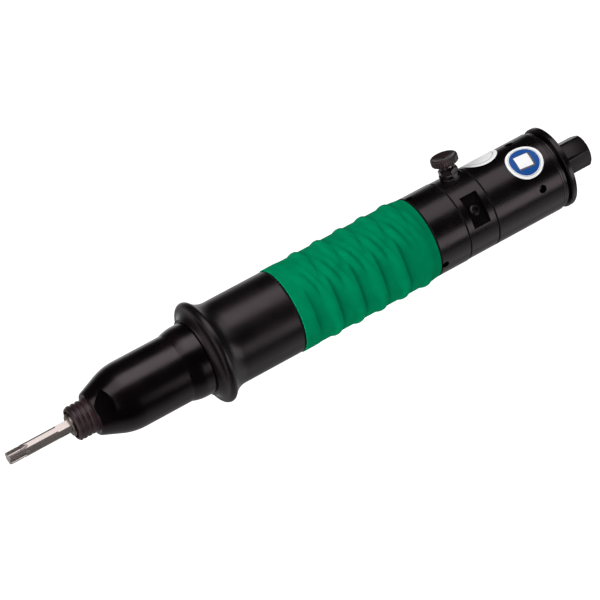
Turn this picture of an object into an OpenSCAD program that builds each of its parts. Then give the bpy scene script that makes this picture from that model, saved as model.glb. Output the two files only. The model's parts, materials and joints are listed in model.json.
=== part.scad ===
// Straight air screwdriver with a vane motor, two planetary stages, a ball clutch,
// a throttle opened by pressing the bit, and a push button that reverses the motor.
// The tool lies along X. Its air inlet opens at the origin and its bit points to -X.

/* [Casing lengths] */
// Length of the hexagonal air inlet behind the rear cap
inlet_len = 18.8; // [14:0.1:24]
// Thickness of the rear cap's flange
flange_len = 3.1; // [2.4:0.1:5]
// Width of the exhaust groove in front of the flange
groove_len = 1.6; // [1.2:0.1:2.6]
// Length of the rear casing
rear_casing_len = 43; // [40:0.1:60]
// Length of the valve ring that carries the button
valve_ring_len = 17.3; // [16:0.1:24]
// Length of the motor casing that shows behind the grip
motor_shoulder_len = 18.1; // [12:0.1:26]
// Length of the rubber grip
grip_len = 80.1; // [76:0.1:100]
// Length of the clutch casing in front of the grip
clutch_casing_len = 49.7; // [48:0.1:60]
// Length of the nose sleeve
nose_len = 59.8; // [54:0.1:70]
// Length of the mounting thread on the nose
nose_thread_len = 10.3; // [8:0.1:14]
// How far the spindle stands out of the thread
spindle_out = 1.4; // [1:0.1:2]

/* [Casing diameters] */
// Outer diameter of the rear casing and the valve ring
casing_d = 42.6; // [41:0.1:46]
// Wall of the rear casing and the valve ring
rear_wall = 3.8; // [3.4:0.1:4]
// How far the rear cap's flange stands out from the rear casing
flange_rise = 0.5; // [0:0.1:2]
// Depth of the exhaust groove
groove_depth = 2.8; // [1.8:0.1:3.2]
// Wall of the motor casing under the grip
motor_wall = 2.7; // [2.4:0.1:3.4]
// How far the motor casing behind the grip stands out from the part under the grip
shoulder_rise = 1.85; // [1:0.05:3]
// Wall of the clutch casing around the motor casing
clutch_wall = 2.35; // [2:0.05:4]
// Small bevel on the casing edges that makes the parting lines show
edge_break = 0.45; // [0.2:0.05:0.6]
// Length of the bevel at the rear end of the rear casing
casing_bevel_len = 2.8; // [1.5:0.1:4]
// Depth of that bevel
casing_bevel_depth = 0.9; // [0.7:0.1:1.2]
// Height of the fine step at each end of that bevel
casing_bevel_step = 0.3; // [0.1:0.05:0.3]

/* [Collar] */
// Largest diameter of the collar on the clutch casing
collar_d = 54; // [50:0.1:56]
// Diameter of the collar's front lip
collar_lip_d = 41; // [40:0.1:43]
// Distance from the collar's lip to the middle of its rounded edge
collar_edge_at = 5.5; // [5:0.1:7]
// Radius of the collar's rounded edge
collar_edge_r = 2.3; // [1.8:0.1:2.8]
// Radius of the hollow sweep from the lip to the rounded edge
collar_front_r = 4.5; // [4:0.1:8]
// Radius of the hollow sweep behind the collar
collar_sweep_r = 11.2; // [8:0.1:14]

/* [Nose] */
// Diameter of the nose sleeve's straight part
nose_d = 35.2; // [34.4:0.1:37]
// Diameter of the nose sleeve where it meets the collar
nose_rear_d = 38.1; // [37.6:0.1:39.5]
// Diameter of the nose sleeve's front face
nose_face_d = 22.9; // [22.4:0.1:26]
// Length of the taper and the shoulder round behind the front face
nose_taper_len = 21.5; // [18:0.1:26]
// Radius of the shoulder round that ends the taper
nose_round_r = 30; // [24:0.5:40]
// Length over which the nose swells to its rear diameter
nose_swell_len = 7.5; // [5:0.1:12]
// Straight length at the nose sleeve's rear
nose_band_len = 4.4; // [3:0.1:6]
// Bevel on the nose sleeve's front edge
nose_edge = 0.6; // [0.3:0.1:1]
// Distance across the two wrench flats on the nose
flats_w = 22.4; // [21.8:0.1:22.4]
// How far the wrench flats reach from the front face
flats_len = 9.5; // [6:0.1:10]
// Radius of the cutter that leaves the flats' round ends
flats_cutter_r = 17; // [12:0.5:20]
// Turn of the wrench flats about the tool's axis
flats_turn = 67; // [0:1:180]

/* [Grip] */
// Thickness of the grip between its ribs
grip_wall = 2.45; // [2:0.05:3.5]
// How far the grip's front edge stands out
grip_front_rise = 0.3; // [0:0.05:0.8]
// How much thinner the grip's rear edge is
grip_tail_drop = 0.55; // [0:0.05:1]
// Height of the grip's ribs
rib_rise = 0.8; // [0.4:0.1:1.4]
// Distance from one rib to the next
rib_pitch = 13.2; // [11:0.1:14]
// Length of one rib
rib_len = 8; // [6:0.1:9]
// Number of ribs
rib_count = 5; // [3:1:5]
// Distance from the grip's front edge to the first rib
rib_start = 13.7; // [8:0.1:14]

/* [Mounting thread] */
// Outer diameter of the mounting thread on the nose
nose_thread_d = 17.8; // [17:0.1:17.9]
// Bevel at the front of the mounting thread
nose_thread_bevel = 0.9; // [0.5:0.1:1.2]

/* [Air inlet] */
// Width across flats of the inlet
inlet_hex_w = 16; // [15.5:0.1:17]
// Corner diameter left by the turned end of the hexagon
inlet_turned_d = 16.2; // [15.2:0.1:17]
// Inner diameter of the inlet's thread
inlet_thread_d = 11.44; // [11.4:0.01:11.9]
// Depth of the inlet's thread
inlet_thread_len = 14; // [11:0.1:14]
// Diameter of the inlet's round body inside the casing
inlet_body_d = 17; // [16.4:0.1:17.4]

/* [Button] */
// Distance from the rear parting line of the valve ring to the button's axis
button_from_joint = 7.4; // [7.2:0.1:8.6]
// Diameter of the boss that carries the button
boss_d = 10.9; // [10.6:0.1:12.6]
// Height of the boss above the casing
boss_rise = 2.1; // [1.8:0.1:2.5]
// Radius of the hollow foot round of the boss
boss_foot_r = 0.6; // [0.4:0.1:1.2]
// Width across flats of the gland nut
gland_w = 9.2; // [9.1:0.1:9.8]
// Thickness of the gland nut's hexagon
gland_len = 2.7; // [2.6:0.1:4]
// Diameter of the gland nut's threaded shank
gland_shank_d = 8.7; // [8.6:0.1:8.8]
// Diameter of the reversing spool
spool_d = 6.4; // [6:0.1:6.6]
// Travel of the button
button_travel = 2; // [1:0.1:2.1]
// Diameter of the button
knob_d = 14.2; // [12:0.1:18]
// Thickness of the button
knob_len = 4.2; // [4:0.1:7]
// Depth of the dish in the button's top
knob_dish = 1; // [0.4:0.1:1.5]
// Radius of the button's rounded edges
knob_edge_r = 1; // [0.4:0.1:1]
// Diameter of the dimple in the dish
knob_dimple_d = 1.4; // [0.8:0.1:2]

/* [Window] */
// Length of the window along the tool
window_len = 9.8; // [9:0.1:12]
// Width of the window around the tool
window_w = 17; // [13:0.1:18]
// Depth of the window's floor below the casing's surface
window_depth = 2.5; // [2:0.1:2.9]
// Turn of the window from the button
window_turn = 70; // [60:1:80]
// Head diameter of the locating screw in the window
screw_head_d = 5.4; // [4.5:0.1:7]
// Head height of the locating screw
screw_head_len = 1.6; // [1.2:0.1:2]
// Shank diameter of the locating screw
screw_d = 3; // [2.5:0.1:3.5]
// Length of the locating screw's shank
screw_len = 6; // [4:0.1:8]

/* [Spanner holes] */
// Diameter of the spanner holes in the motor casing
motor_hole_d = 4; // [3:0.1:4.6]
// Distance from the grip's rear edge to the motor casing's holes
motor_hole_at = 2.4; // [2.4:0.1:6]
// Number of spanner holes in the motor casing
motor_hole_count = 3; // [2:1:4]
// Turn of the first hole in the motor casing from the button
motor_hole_turn = 4; // [-20:1:20]
// Diameter of the spanner holes in the rear casing
rear_hole_d = 4.3; // [3:0.1:5]
// Distance from the rear end of the rear casing to its holes
rear_hole_at = 14.4; // [10:0.1:18]
// Number of spanner holes in the rear casing
rear_hole_count = 4; // [2:1:4]
// Turn of the first rear hole from the button
rear_hole_turn = -1; // [-20:1:20]
// Depth of the spanner holes
hole_depth = 3; // [2:0.1:3.2]

/* [Bit and spindle] */
// Width across flats of the driver bit and its socket
bit_w = 6.35; // [6:0.01:6.6]
// Length of the driver bit
bit_len = 50; // [40:0.5:60]
// How far the bit stands out of the spindle
bit_out = 33.7; // [20:0.1:40]
// Diameter of the bit ahead of its hexagon
bit_neck_d = 6.8; // [6.4:0.1:7]
// Length of the bit's turned front
bit_neck_len = 26.9; // [16:0.1:30]
// Outer diameter of the six-lobe tip
lobe_d = 6.65; // [6.2:0.05:6.8]
// Diameter between the hollows of the six-lobe tip
lobe_root_d = 4.85; // [4.4:0.05:5]
// Length of the six-lobe tip
lobe_len = 7.4; // [5:0.1:12]
// Outer diameter of the spindle
spindle_d = 11.4; // [11.2:0.1:11.6]
// Travel of the spindle that opens the throttle
start_travel = 2.5; // [1:0.1:2.5]

/* [Motor] */
// Length of the motor cylinder
cylinder_len = 42; // [40:0.1:44]
// Thickness of the motor cylinder's wall if its bore were centred
cylinder_wall = 3.2; // [3:0.05:3.4]
// Distance of the cylinder's bore from the tool's axis
cylinder_offset = 1.15; // [1:0.05:1.2]
// Number of vanes
vane_count = 5; // [4:1:6]
// Thickness of a vane
vane_w = 2.1; // [1.6:0.1:2.4]
// Depth of a vane from the rotor's surface
vane_depth = 5.4; // [4.5:0.1:5.6]
// Thickness of each end plate
plate_len = 8; // [7.5:0.1:9]
// Diameter of the rod that runs from the spindle to the throttle
rod_d = 2.6; // [2:0.1:2.8]

/* [Gearing] */
// Gear module, which sets the bore of the motor casing too
gear_module = 0.65; // [0.63:0.01:0.7]
// Wall of the ring gear outside its teeth
ring_wall = 2.54; // [2.2:0.01:3]
// Teeth of each sun gear
sun_teeth = 12; // [12:1:12]
// Teeth of each planet gear
planet_teeth = 15; // [15:1:15]
// Number of planets in each stage
planet_count = 3; // [3:1:3]
// Face width of each planet
planet_len = 8; // [6:0.1:8.4]
// Thickness of the carrier plates
carrier_len = 4; // [3:0.1:4.4]
// Diameter of the planet pins
pin_d = 3; // [2.4:0.1:3.2]

/* [Clutch] */
// Diameter of the clutch halves
clutch_d = 24.4; // [22:0.1:25]
// Diameter of the clutch balls
clutch_ball_d = 5; // [4:0.1:5.2]
// Number of clutch balls
clutch_ball_count = 3; // [3:1:4]
// Width across flats of the driving hexagon
drive_hex_w = 9; // [8:0.1:9.4]
// Travel of the clutch when it trips
trip_travel = 1.8; // [1:0.1:2]
// Wire diameter of the clutch spring
clutch_wire_d = 2; // [1.2:0.1:2.2]

/* [Hidden] */

$fn = 64;

// Radial clearance between pieces that stay together
fit = 0.02;
// Radial clearance of shafts and pistons that run
running = 0.05;
// Axial clearance between pieces that move past each other
end_play = 0.05;
// How far a cut runs past the piece it cuts
over = 1;

// Stations along the tool, from the inlet's mouth at zero towards the bit
flange_rear = -inlet_len;
flange_front = flange_rear - flange_len;
casing_rear = flange_front - groove_len;
valve_rear = casing_rear - rear_casing_len;
valve_front = valve_rear - valve_ring_len;
grip_rear = valve_front - motor_shoulder_len;
grip_front = grip_rear - grip_len;
collar_front = grip_front - clutch_casing_len;
nose_face = collar_front - nose_len;
thread_front = nose_face - nose_thread_len;
spindle_front = thread_front - spindle_out;
bit_tip = spindle_front - bit_out;

// Gear geometry: the ring gear's teeth follow from the sun and the planets
pressure_angle = 25;
ring_teeth = sun_teeth + 2*planet_teeth;
sun_pitch_r = gear_module*sun_teeth/2;
planet_pitch_r = gear_module*planet_teeth/2;
ring_pitch_r = gear_module*ring_teeth/2;
planet_orbit = sun_pitch_r + planet_pitch_r;
// Addendum and dedendum of a tooth as shares of the module
addendum_share = 0.94;
dedendum_share = 1.25;
tooth_play = 0.03;
flank_points = 3;
stage_play = 0.3;
carrier_rim = 1.2;
carrier_d = 2*(planet_orbit + pin_d/2 + carrier_rim);

// Casing diameters that follow from the ring gear and the walls around it
motor_bore_d = 2*(ring_pitch_r + dedendum_share*gear_module + ring_wall);
motor_tube_d = motor_bore_d + 2*motor_wall;
motor_shoulder_d = motor_tube_d + 2*shoulder_rise;
clutch_casing_d = motor_tube_d + 2*clutch_wall;
grip_d = motor_tube_d + 2*grip_wall;
grip_front_d = grip_d + 2*grip_front_rise;
grip_tail_d = grip_d - 2*grip_tail_drop;

// Diameters and heights of the rear casing, its cap and what the valve ring carries
rear_bore_d = casing_d - 2*rear_wall;
flange_d = casing_d + 2*flange_rise;
groove_d = casing_d - 2*groove_depth;
boss_top = casing_d/2 + boss_rise;
window_floor = casing_d/2 - window_depth;

// Turn of the inlet's hexagon about the tool's axis
inlet_turn = 16;

// Grip outline
// Share of a rib's length over which it rises
rise_share = 0.35;
// Where the grip's front edge starts and ends its fall as shares of the way to the first rib
edge_shares = [0.5, 0.8];
rib_steps = 8;

// Rear cap and silencer
cap_plug_len = 6.5;
cap_wall = 3.4;
cap_skin = 1.6;
exhaust_hole_d = 1;
exhaust_hole_count = 16;
silencer_gap = 0.25;
flange_edge_r = 0.8;

// Inlet, strainer and throttle
seat_depth = 10.5;
inlet_nose = valve_rear + seat_depth;
throttle_bore_d = 10;
inlet_duct_d = 7.4;
spring_room = 16;
strainer_len = 0.8;
strainer_d = 10;
strainer_recess = 0.4;
strainer_hole_d = 1.2;
strainer_pitch = 1.9;
strainer_rings = 2;
seat_len = 4;
seat_hole_d = 5;
throttle_disc_d = 9;
throttle_disc_len = 3;
throttle_stem_d = 3;
throttle_stem_len = 6;
throttle_wire_d = 0.9;
throttle_coil_d = 7;
throttle_coils = 6;

// Valve body and its drilled ways
body_overlap = 16.5;
body_spigot_len = 6.2;
feed_room_d = 15;
feed_room_len = 3;
feed_hole_d = 2.6;
port_hole_d = 2;
port_depth = 2.9;
port_gap = 3.8;
port_b_at = rear_bore_d/2 - port_depth;
port_a_at = port_b_at - port_gap;
scallop_d = 4;
scallop_turns = [120, 180, 240];
rod_guide_d = rod_d + 2*running;
rod_play = 0.6;
rod_way_d = rod_d + rod_play;
oring_d = 1.6;

// Button axis and the spool's places above the tool's axis
button_x = valve_rear - button_from_joint;
spool_drop = 1.8;
button_spring_len = 5;
feed_rise = 2.4;
spool_foot = port_a_at - spool_drop;
spool_floor = spool_foot - button_spring_len;
feed_hole_at = spool_floor + feed_rise;
spool_neck_d = 4.4;
spool_stop_d = 7.9;
spool_stop_len = 1.2;
gland_shank_len = 3;
gland_turn = 20;
gland_foot = boss_top - gland_shank_len;
spool_stop_top = gland_foot - end_play;
knob_gap = 0.4;
knob_foot = boss_top + gland_len + button_travel + knob_gap;
knob_top = knob_foot + knob_len;
knob_socket = 2;
button_wire_d = 0.5;
button_coil_d = 5.4;
button_coils = 4;
spool_ring_d = 1;
// Length of the plain band behind the rear casing's bevel as a share of the bevel
band_share = 0.3;
// Height of the spool's lands as a share of a port's diameter
land_share = 0.9;
// Width of the screw's hexagon socket as a share of its head
socket_share = 0.55;

// Motor and bearings
cylinder_bore_d = motor_bore_d - 2*cylinder_wall;
rotor_d = cylinder_bore_d - 2*cylinder_offset - 2*running;
bearing_bore_d = 10;
bearing_outer_d = 19;
bearing_len = 5;
bearing_ball_d = 3.2;
bearing_balls = 9;
output_bore_d = 12;
output_outer_d = 28;
output_bearing_len = 8;
output_ball_d = 4.8;
output_balls = 9;
// Share of a bearing's ring height that each ring fills
ring_share = 0.34;
spacer_wall = 3.4;
slot_play = 0.05;
exhaust_port_d = 3;
exhaust_port_count = 6;

// Gear and motor stack, from the front end of the motor casing to the rear
casing_spigot_len = 10;
carrier_gap = 1;
pinion_neck = 2.1;
ring_front = grip_front - casing_spigot_len;
carrier_2_front = ring_front + carrier_gap;
carrier_2_rear = carrier_2_front + carrier_len;
planets_2_front = carrier_2_rear + stage_play;
planets_2_rear = planets_2_front + planet_len;
carrier_1_front = planets_2_rear + stage_play;
carrier_1_rear = carrier_1_front + carrier_len;
planets_1_front = carrier_1_rear + stage_play;
planets_1_rear = planets_1_front + planet_len;
gear_rear = planets_1_rear + pinion_neck;
front_plate_rear = gear_rear + plate_len;
rear_plate_front = front_plate_rear + cylinder_len;
rear_plate_rear = rear_plate_front + plate_len;

// Output shaft and clutch, from the output bearing towards the nose
bearing_inset = 3.4;
output_rear = ring_front - bearing_inset;
output_front = output_rear - output_bearing_len;
hub_d = 15.4;
clutch_room_d = 26.4;
thread_relief = 0.4;
thread_d = output_bore_d - thread_relief;
nut_gap = 3;
nut_rear = output_front - nut_gap;
nut_len = 6;
nut_front = nut_rear - nut_len;
nut_notch_w = 3;
nut_notches = 8;
clutch_spring_len = 13;
clutch_coil_d = 18;
clutch_coils = 3.5;
washer_len = 1;
driver_len = 7.2;
face_gap = 1.7;
washer_rear = nut_front - clutch_spring_len;
driver_rear = washer_rear - washer_len;
driver_front = driver_rear - driver_len;
jaw_rear = driver_front - face_gap;
ball_x = jaw_rear + clutch_ball_d/2 - trip_travel;
ball_orbit = 8.6;
shaft_gap = 1;
shaft_front = jaw_rear + shaft_gap;
thread_run = 2;
jaw_flange_len = 4.8;
jaw_d = 19;
jaw_hex_w = 8.1;
bush_len = 9.9;
bush_flange_len = 2;
spigot_d = 31;
spigot_front = jaw_rear - jaw_flange_len - end_play - bush_len;
jaw_nose_len = 1.3;
jaw_front = spigot_front - bush_flange_len - jaw_nose_len;

// Nose, bushes and spindle
nose_wall = 3.1;
nose_wall_len = 10.6;
bushing_rise = 0.7;
bushing_body_d = nose_thread_d + 2*bushing_rise;
bushing_seat = nose_face + nose_wall_len;
bushing_flange_d = 24;
bushing_flange_len = 4;
bushing_tail_d = 21;
bush_wall = 1.5;
spindle_flange_d = 16.4;
spindle_flange_len = 3;
spindle_gap = 3.2;
bushing_rear = jaw_front - start_travel - spindle_flange_len - spindle_gap;
tail_hex_w = 8;
tail_gap = 0.3;
tail_rear = jaw_rear - start_travel - tail_gap;
socket_play = 0.03;
bit_turn = 10;
bit_rear = bit_tip + bit_len;
bit_bevel = 0.8;
bit_groove_d = 5.4;
bit_groove_len = 3.2;
bit_groove_at = 9.8;
bit_ball_d = 2.4;
ring_wire_d = 0.7;
// Radius of the hollows between the lobes of the bit as a share of its diameter
hollow_share = 0.21;
// Angle at which the hollows run out behind the tip
runout_angle = 14;
// Widening of the run-out as a ratio
runout_widening = 1.1;

// Points of an arc about c = [radius, x], for outlines given as [radius, x]
function arc(c, r, a0, a1, n = 8) =
    [for (i = [0:n]) let (a = a0 + (a1 - a0)*i/n) [c[0] + r*cos(a), c[1] + r*sin(a)]];

// Half-cosine step from 0 to 1
function ease(t) = (1 - cos(180*t))/2;

// Turns an outline of [radius, x] points about the tool's axis
module turned(points) {
    rotate([0, 90, 0]) rotate_extrude() polygon(points);
}

// A round bar along the tool from x0 to x1
module bar(x0, x1, d) {
    translate([min(x0, x1), 0, 0]) rotate([0, 90, 0]) cylinder(h = abs(x1 - x0), d = d);
}

// A hexagonal bar along the tool, w across its flats
module hex_bar(x0, x1, w) {
    translate([min(x0, x1), 0, 0]) rotate([0, 90, 0])
        cylinder(h = abs(x1 - x0), d = w/cos(30), $fn = 6);
}

// A tube along the tool from x0 to x1
module pipe(x0, x1, d, bore) {
    difference() {
        bar(x0, x1, d);
        bar(min(x0, x1) - over, max(x0, x1) + over, bore);
    }
}

// A torus about the tool's axis at x
module wire_ring(x, orbit_d, d) {
    translate([x, 0, 0]) rotate([0, 90, 0]) rotate_extrude() translate([orbit_d/2, 0]) circle(d = d);
}

// Places its children on a radius turned by angle from the button
module at_turn(x, angle) {
    rotate([angle, 0, 0]) translate([x, 0, 0]) children();
}

// Blind spanner holes around a casing
module spanner_holes(x, d, casing, count, turn) {
    for (i = [0:count - 1])
        at_turn(x, turn + 360*i/count)
            translate([0, 0, casing/2 - hole_depth]) cylinder(h = hole_depth + over, d = d);
}

// Coil spring along Z between its seats: an unbroken wire of 6 sides, 8 rings a curl
function coil_points(coil_d, wire_d, length, coils) =
    let (rings = ceil(8*coils), rise = length - wire_d)
    [for (i = [0:rings]) let (t = i/rings, a = 360*coils*t)
        [coil_d/2*cos(a), coil_d/2*sin(a), wire_d/2 + rise*t]];

// Least gap between one curl of a coil's wire and the next
function coil_gap(points, wire_d) =
    min([for (i = [0:len(points) - 1]) for (j = [i + 5:1:len(points) - 1])
        norm(points[i] - points[j])]) - wire_d;

module coil_spring(coil_d, wire_d, length, coils) {
    sides = 6;
    path = coil_points(coil_d, wire_d, length, coils);
    rings = len(path);
    slope = atan2(length - wire_d, PI*coil_d*coils);
    shell = [for (i = [0:rings - 1]) let (a = 360*coils*i/(rings - 1))
        for (j = [0:sides - 1]) let (b = 360*j/sides, out = wire_d/2*cos(b), up = wire_d/2*sin(b))
            path[i] + [
                out*cos(a) + up*sin(slope)*sin(a),
                out*sin(a) - up*sin(slope)*cos(a),
                up*cos(slope)
            ]];
    walls = [for (i = [0:rings - 2]) for (j = [0:sides - 1])
        let (k = (j + 1) % sides, p = i*sides + j, q = i*sides + k)
        each [[p, p + sides, q], [q, p + sides, q + sides]]];
    front = [for (j = [1:sides - 2]) [0, j, j + 1]];
    last = (rings - 1)*sides;
    back = [for (j = [1:sides - 2]) [last, last + j + 1, last + j]];
    echo(spring_gap = coil_gap(path, wire_d));
    polyhedron(points = shell, faces = concat(walls, front, back));
}

// Involute teeth as a polygon: external, or the cutter for an internal gear
function involute(r, base_r) =
    r <= base_r ? 0 : let (a = acos(base_r/r)) tan(a)*180/PI - a;

function half_tooth(r, pitch_r, teeth, play) =
    let (base_r = pitch_r*cos(pressure_angle))
    90/teeth - play/pitch_r*180/PI + involute(pitch_r, base_r) - involute(r, base_r);

function polar(r, a) = [r*cos(a), r*sin(a)];

function gear_outline(pitch_r, teeth, tip_r, root_r, play) =
    let (start_r = max(root_r, pitch_r*cos(pressure_angle)),
         steps = [for (i = [0:flank_points]) start_r + (tip_r - start_r)*i/flank_points])
    [for (k = [0:teeth - 1]) let (turn = 360*k/teeth)
        each concat(
            start_r > root_r ? [polar(root_r, turn - half_tooth(start_r, pitch_r, teeth, play))] : [],
            [for (r = steps) polar(r, turn - half_tooth(r, pitch_r, teeth, play))],
            [for (i = [flank_points:-1:0])
                polar(steps[i], turn + half_tooth(steps[i], pitch_r, teeth, play))],
            start_r > root_r ? [polar(root_r, turn + half_tooth(start_r, pitch_r, teeth, play))] : []
        )];

// A spur gear along the tool, with a tooth at the button's side
module spur(x0, x1, pitch_r, teeth) {
    tip_r = pitch_r + addendum_share*gear_module;
    root_r = pitch_r - dedendum_share*gear_module;
    translate([x0, 0, 0]) rotate([0, 90, 0]) rotate([0, 0, 180])
        linear_extrude(x1 - x0)
            polygon(gear_outline(pitch_r, teeth, tip_r, root_r, tooth_play));
}

module sun(x0, x1) {
    spur(x0, x1, sun_pitch_r, sun_teeth);
}

module planet(x0, x1, index) {
    rotate([360*index/planet_count, 0, 0])
        translate([0, 0, planet_orbit]) difference() {
            spur(x0, x1, planet_pitch_r, planet_teeth);
            bar(x0 - over, x1 + over, pin_d + 2*running);
        }
}

module planet_pins(x0, x1) {
    for (i = [0:planet_count - 1])
        rotate([360*i/planet_count, 0, 0]) translate([0, 0, planet_orbit]) bar(x0, x1, pin_d);
}

module pin_holes(x0, x1) {
    for (i = [0:planet_count - 1])
        rotate([360*i/planet_count, 0, 0]) translate([0, 0, planet_orbit])
            bar(x0 - over, x1 + over, pin_d + 2*fit);
}

// Ball bearing rings and balls between a bore and an outer diameter, from x0
module bearing_ring(x0, inner_d, outer_d, length, ball_d, pitch_d) {
    translate([x0, 0, 0]) rotate([0, 90, 0]) rotate_extrude() difference() {
        translate([inner_d/2, 0]) square([(outer_d - inner_d)/2, length]);
        translate([pitch_d/2, length/2]) circle(d = ball_d + 2*running);
    }
}

module bearing_outer(x0, bore, outer, length, ball_d) {
    rise = (outer - bore)*ring_share;
    bearing_ring(x0, outer - rise, outer, length, ball_d, (bore + outer)/2);
}

module bearing_inner(x0, bore, outer, length, ball_d) {
    rise = (outer - bore)*ring_share;
    bearing_ring(x0, bore, bore + rise, length, ball_d, (bore + outer)/2);
}

module bearing_ball_set(x0, bore, outer, length, ball_d, count) {
    for (i = [0:count - 1])
        at_turn(x0 + length/2, 360*i/count)
            translate([0, 0, (bore + outer)/4]) sphere(d = ball_d);
}

// Casing pieces, from the rear to the front

module inlet_bushing() {
    color([0.16, 0.15, 0.16])
    difference() {
        union() {
            intersection() {
                rotate([inlet_turn, 0, 0]) hex_bar(flange_rear, 0, inlet_hex_w);
                turned([
                    [0, flange_rear], [inlet_hex_w, flange_rear],
                    [inlet_hex_w, inlet_turned_d/2 - inlet_hex_w],
                    [inlet_turned_d/2, 0], [0, 0]
                ]);
            }
            bar(inlet_nose, flange_rear + fit, inlet_body_d);
        }
        bar(-inlet_thread_len, over, inlet_thread_d);
        bar(-inlet_thread_len - strainer_recess - strainer_len, 0, strainer_d);
        bar(inlet_nose + spring_room, over, inlet_duct_d);
        bar(inlet_nose - over, inlet_nose + spring_room, throttle_bore_d);
    }
}

module inlet_strainer() {
    front = -inlet_thread_len - strainer_recess - strainer_len;
    color([0.78, 0.76, 0.7])
    difference() {
        bar(front, front + strainer_len, strainer_d - 2*fit);
        bar(front - over, 0, strainer_hole_d);
        for (ring = [1:strainer_rings]) for (i = [0:6*ring - 1])
            rotate([60*i/ring, 0, 0]) translate([0, 0, strainer_pitch*ring])
                bar(front - over, 0, strainer_hole_d);
    }
}

module rear_cap() {
    plug_r = rear_bore_d/2 - fit;
    front = casing_rear - cap_plug_len;
    chamber_rear = flange_rear - cap_wall;
    color([0.14, 0.13, 0.14])
    difference() {
        turned(concat(
            [[inlet_body_d/2 + fit, front], [plug_r, front], [plug_r, casing_rear],
             [groove_d/2, casing_rear], [groove_d/2, flange_front]],
            arc([flange_d/2 - flange_edge_r, flange_front + flange_edge_r], flange_edge_r, -90, 0, 4),
            arc([flange_d/2 - flange_edge_r, flange_rear - flange_edge_r], flange_edge_r, 0, 90, 4),
            [[inlet_body_d/2 + fit, flange_rear]]
        ));
        pipe(front - over, chamber_rear, 2*(plug_r - cap_skin), inlet_body_d + 2*cap_wall);
        for (i = [0:exhaust_hole_count - 1])
            at_turn((casing_rear + chamber_rear)/2, 360*i/exhaust_hole_count)
                translate([0, 0, inlet_body_d/2 + cap_wall + over])
                    cylinder(h = groove_d/2, d = exhaust_hole_d);
    }
}

module rear_casing() {
    r = casing_d/2;
    end_r = r - casing_bevel_depth;
    bevel_x = casing_rear - casing_bevel_len;
    band_x = casing_rear - casing_bevel_len*band_share;
    color([0.13, 0.12, 0.13])
    difference() {
        turned([
            [rear_bore_d/2, valve_rear], [r - edge_break, valve_rear], [r, valve_rear + edge_break],
            [r, bevel_x], [r - casing_bevel_step, bevel_x],
            [end_r + casing_bevel_step, band_x], [end_r, band_x], [end_r, casing_rear],
            [rear_bore_d/2, casing_rear]
        ]);
        spanner_holes(casing_rear - rear_hole_at, rear_hole_d, casing_d, rear_hole_count, rear_hole_turn);
    }
}

module silencer_ring() {
    color([0.7, 0.55, 0.35])
    pipe(valve_rear + body_overlap + silencer_gap, casing_rear - cap_plug_len - silencer_gap,
        rear_bore_d - 2*silencer_gap, inlet_body_d + 2*silencer_gap);
}

module valve_ring() {
    r = casing_d/2;
    foot = sqrt(pow(r, 2) - pow(boss_d/2 + boss_foot_r, 2));
    color([0.13, 0.12, 0.13])
    difference() {
        union() {
            turned([
                [0, valve_front], [r - edge_break, valve_front], [r, valve_front + edge_break],
                [r, valve_rear - edge_break], [r - edge_break, valve_rear], [0, valve_rear]
            ]);
            translate([button_x, 0, 0]) rotate_extrude() polygon(concat(
                [[0, foot - over]],
                [[boss_d/2 + boss_foot_r, foot - over]],
                arc([boss_d/2 + boss_foot_r, r - edge_break + boss_foot_r], boss_foot_r, 270, 180, 6),
                [[boss_d/2, boss_top - edge_break], [boss_d/2 - edge_break, boss_top], [0, boss_top]]
            ));
        }
        bar(valve_front - over, valve_rear + over, rear_bore_d);
        translate([button_x, 0, 0]) cylinder(h = boss_top + over, d = gland_shank_d + 2*fit);
        at_turn((valve_front + valve_rear)/2, window_turn)
            translate([-window_len/2, -window_w/2, window_floor]) cube([window_len, window_w, r]);
        at_turn((valve_front + valve_rear)/2, window_turn)
            cylinder(h = r, d = screw_d + 2*fit);
    }
}

module valve_body() {
    r = rear_bore_d/2 - fit;
    spigot_r = motor_bore_d/2 - fit;
    spigot_front = valve_front - body_spigot_len;
    rear = valve_rear + body_overlap;
    seat_front = inlet_nose - seat_len;
    color([0.72, 0.72, 0.74])
    difference() {
        union() {
            bar(valve_front, rear, 2*r);
            bar(spigot_front, valve_front, 2*spigot_r);
        }
        bar(spigot_front - over, rear, rod_guide_d);
        bar(seat_front, rear + over, inlet_body_d + 2*fit);
        bar(seat_front - feed_room_len, seat_front, feed_room_d);
        translate([0, 0, feed_hole_at]) bar(button_x, seat_front, feed_hole_d);
        translate([0, 0, port_a_at]) bar(spigot_front - over, button_x, port_hole_d);
        translate([0, 0, port_b_at]) bar(spigot_front - over, button_x, port_hole_d);
        translate([button_x, 0, spool_floor]) cylinder(h = r, d = spool_d + 2*running);
        translate([button_x, 0, spool_stop_top - spool_stop_len - button_travel - 2*end_play])
            cylinder(h = r, d = gland_shank_d + 2*fit);
        for (turn = scallop_turns)
            at_turn(0, turn) translate([0, 0, r]) bar(valve_front - over, rear + over, scallop_d);
        at_turn((valve_front + valve_rear)/2, window_turn)
            translate([0, 0, window_floor - screw_len - end_play])
                cylinder(h = r, d = screw_d + 2*fit);
        wire_ring(spigot_front + oring_d, 2*spigot_r - oring_d, oring_d + 2*running);
        wire_ring(rear - oring_d, 2*r - oring_d, oring_d + 2*running);
    }
}

module valve_seat() {
    front = inlet_nose - seat_len;
    color([0.8, 0.66, 0.35])
    pipe(front + fit, inlet_nose - fit, inlet_body_d, seat_hole_d);
}

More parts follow.
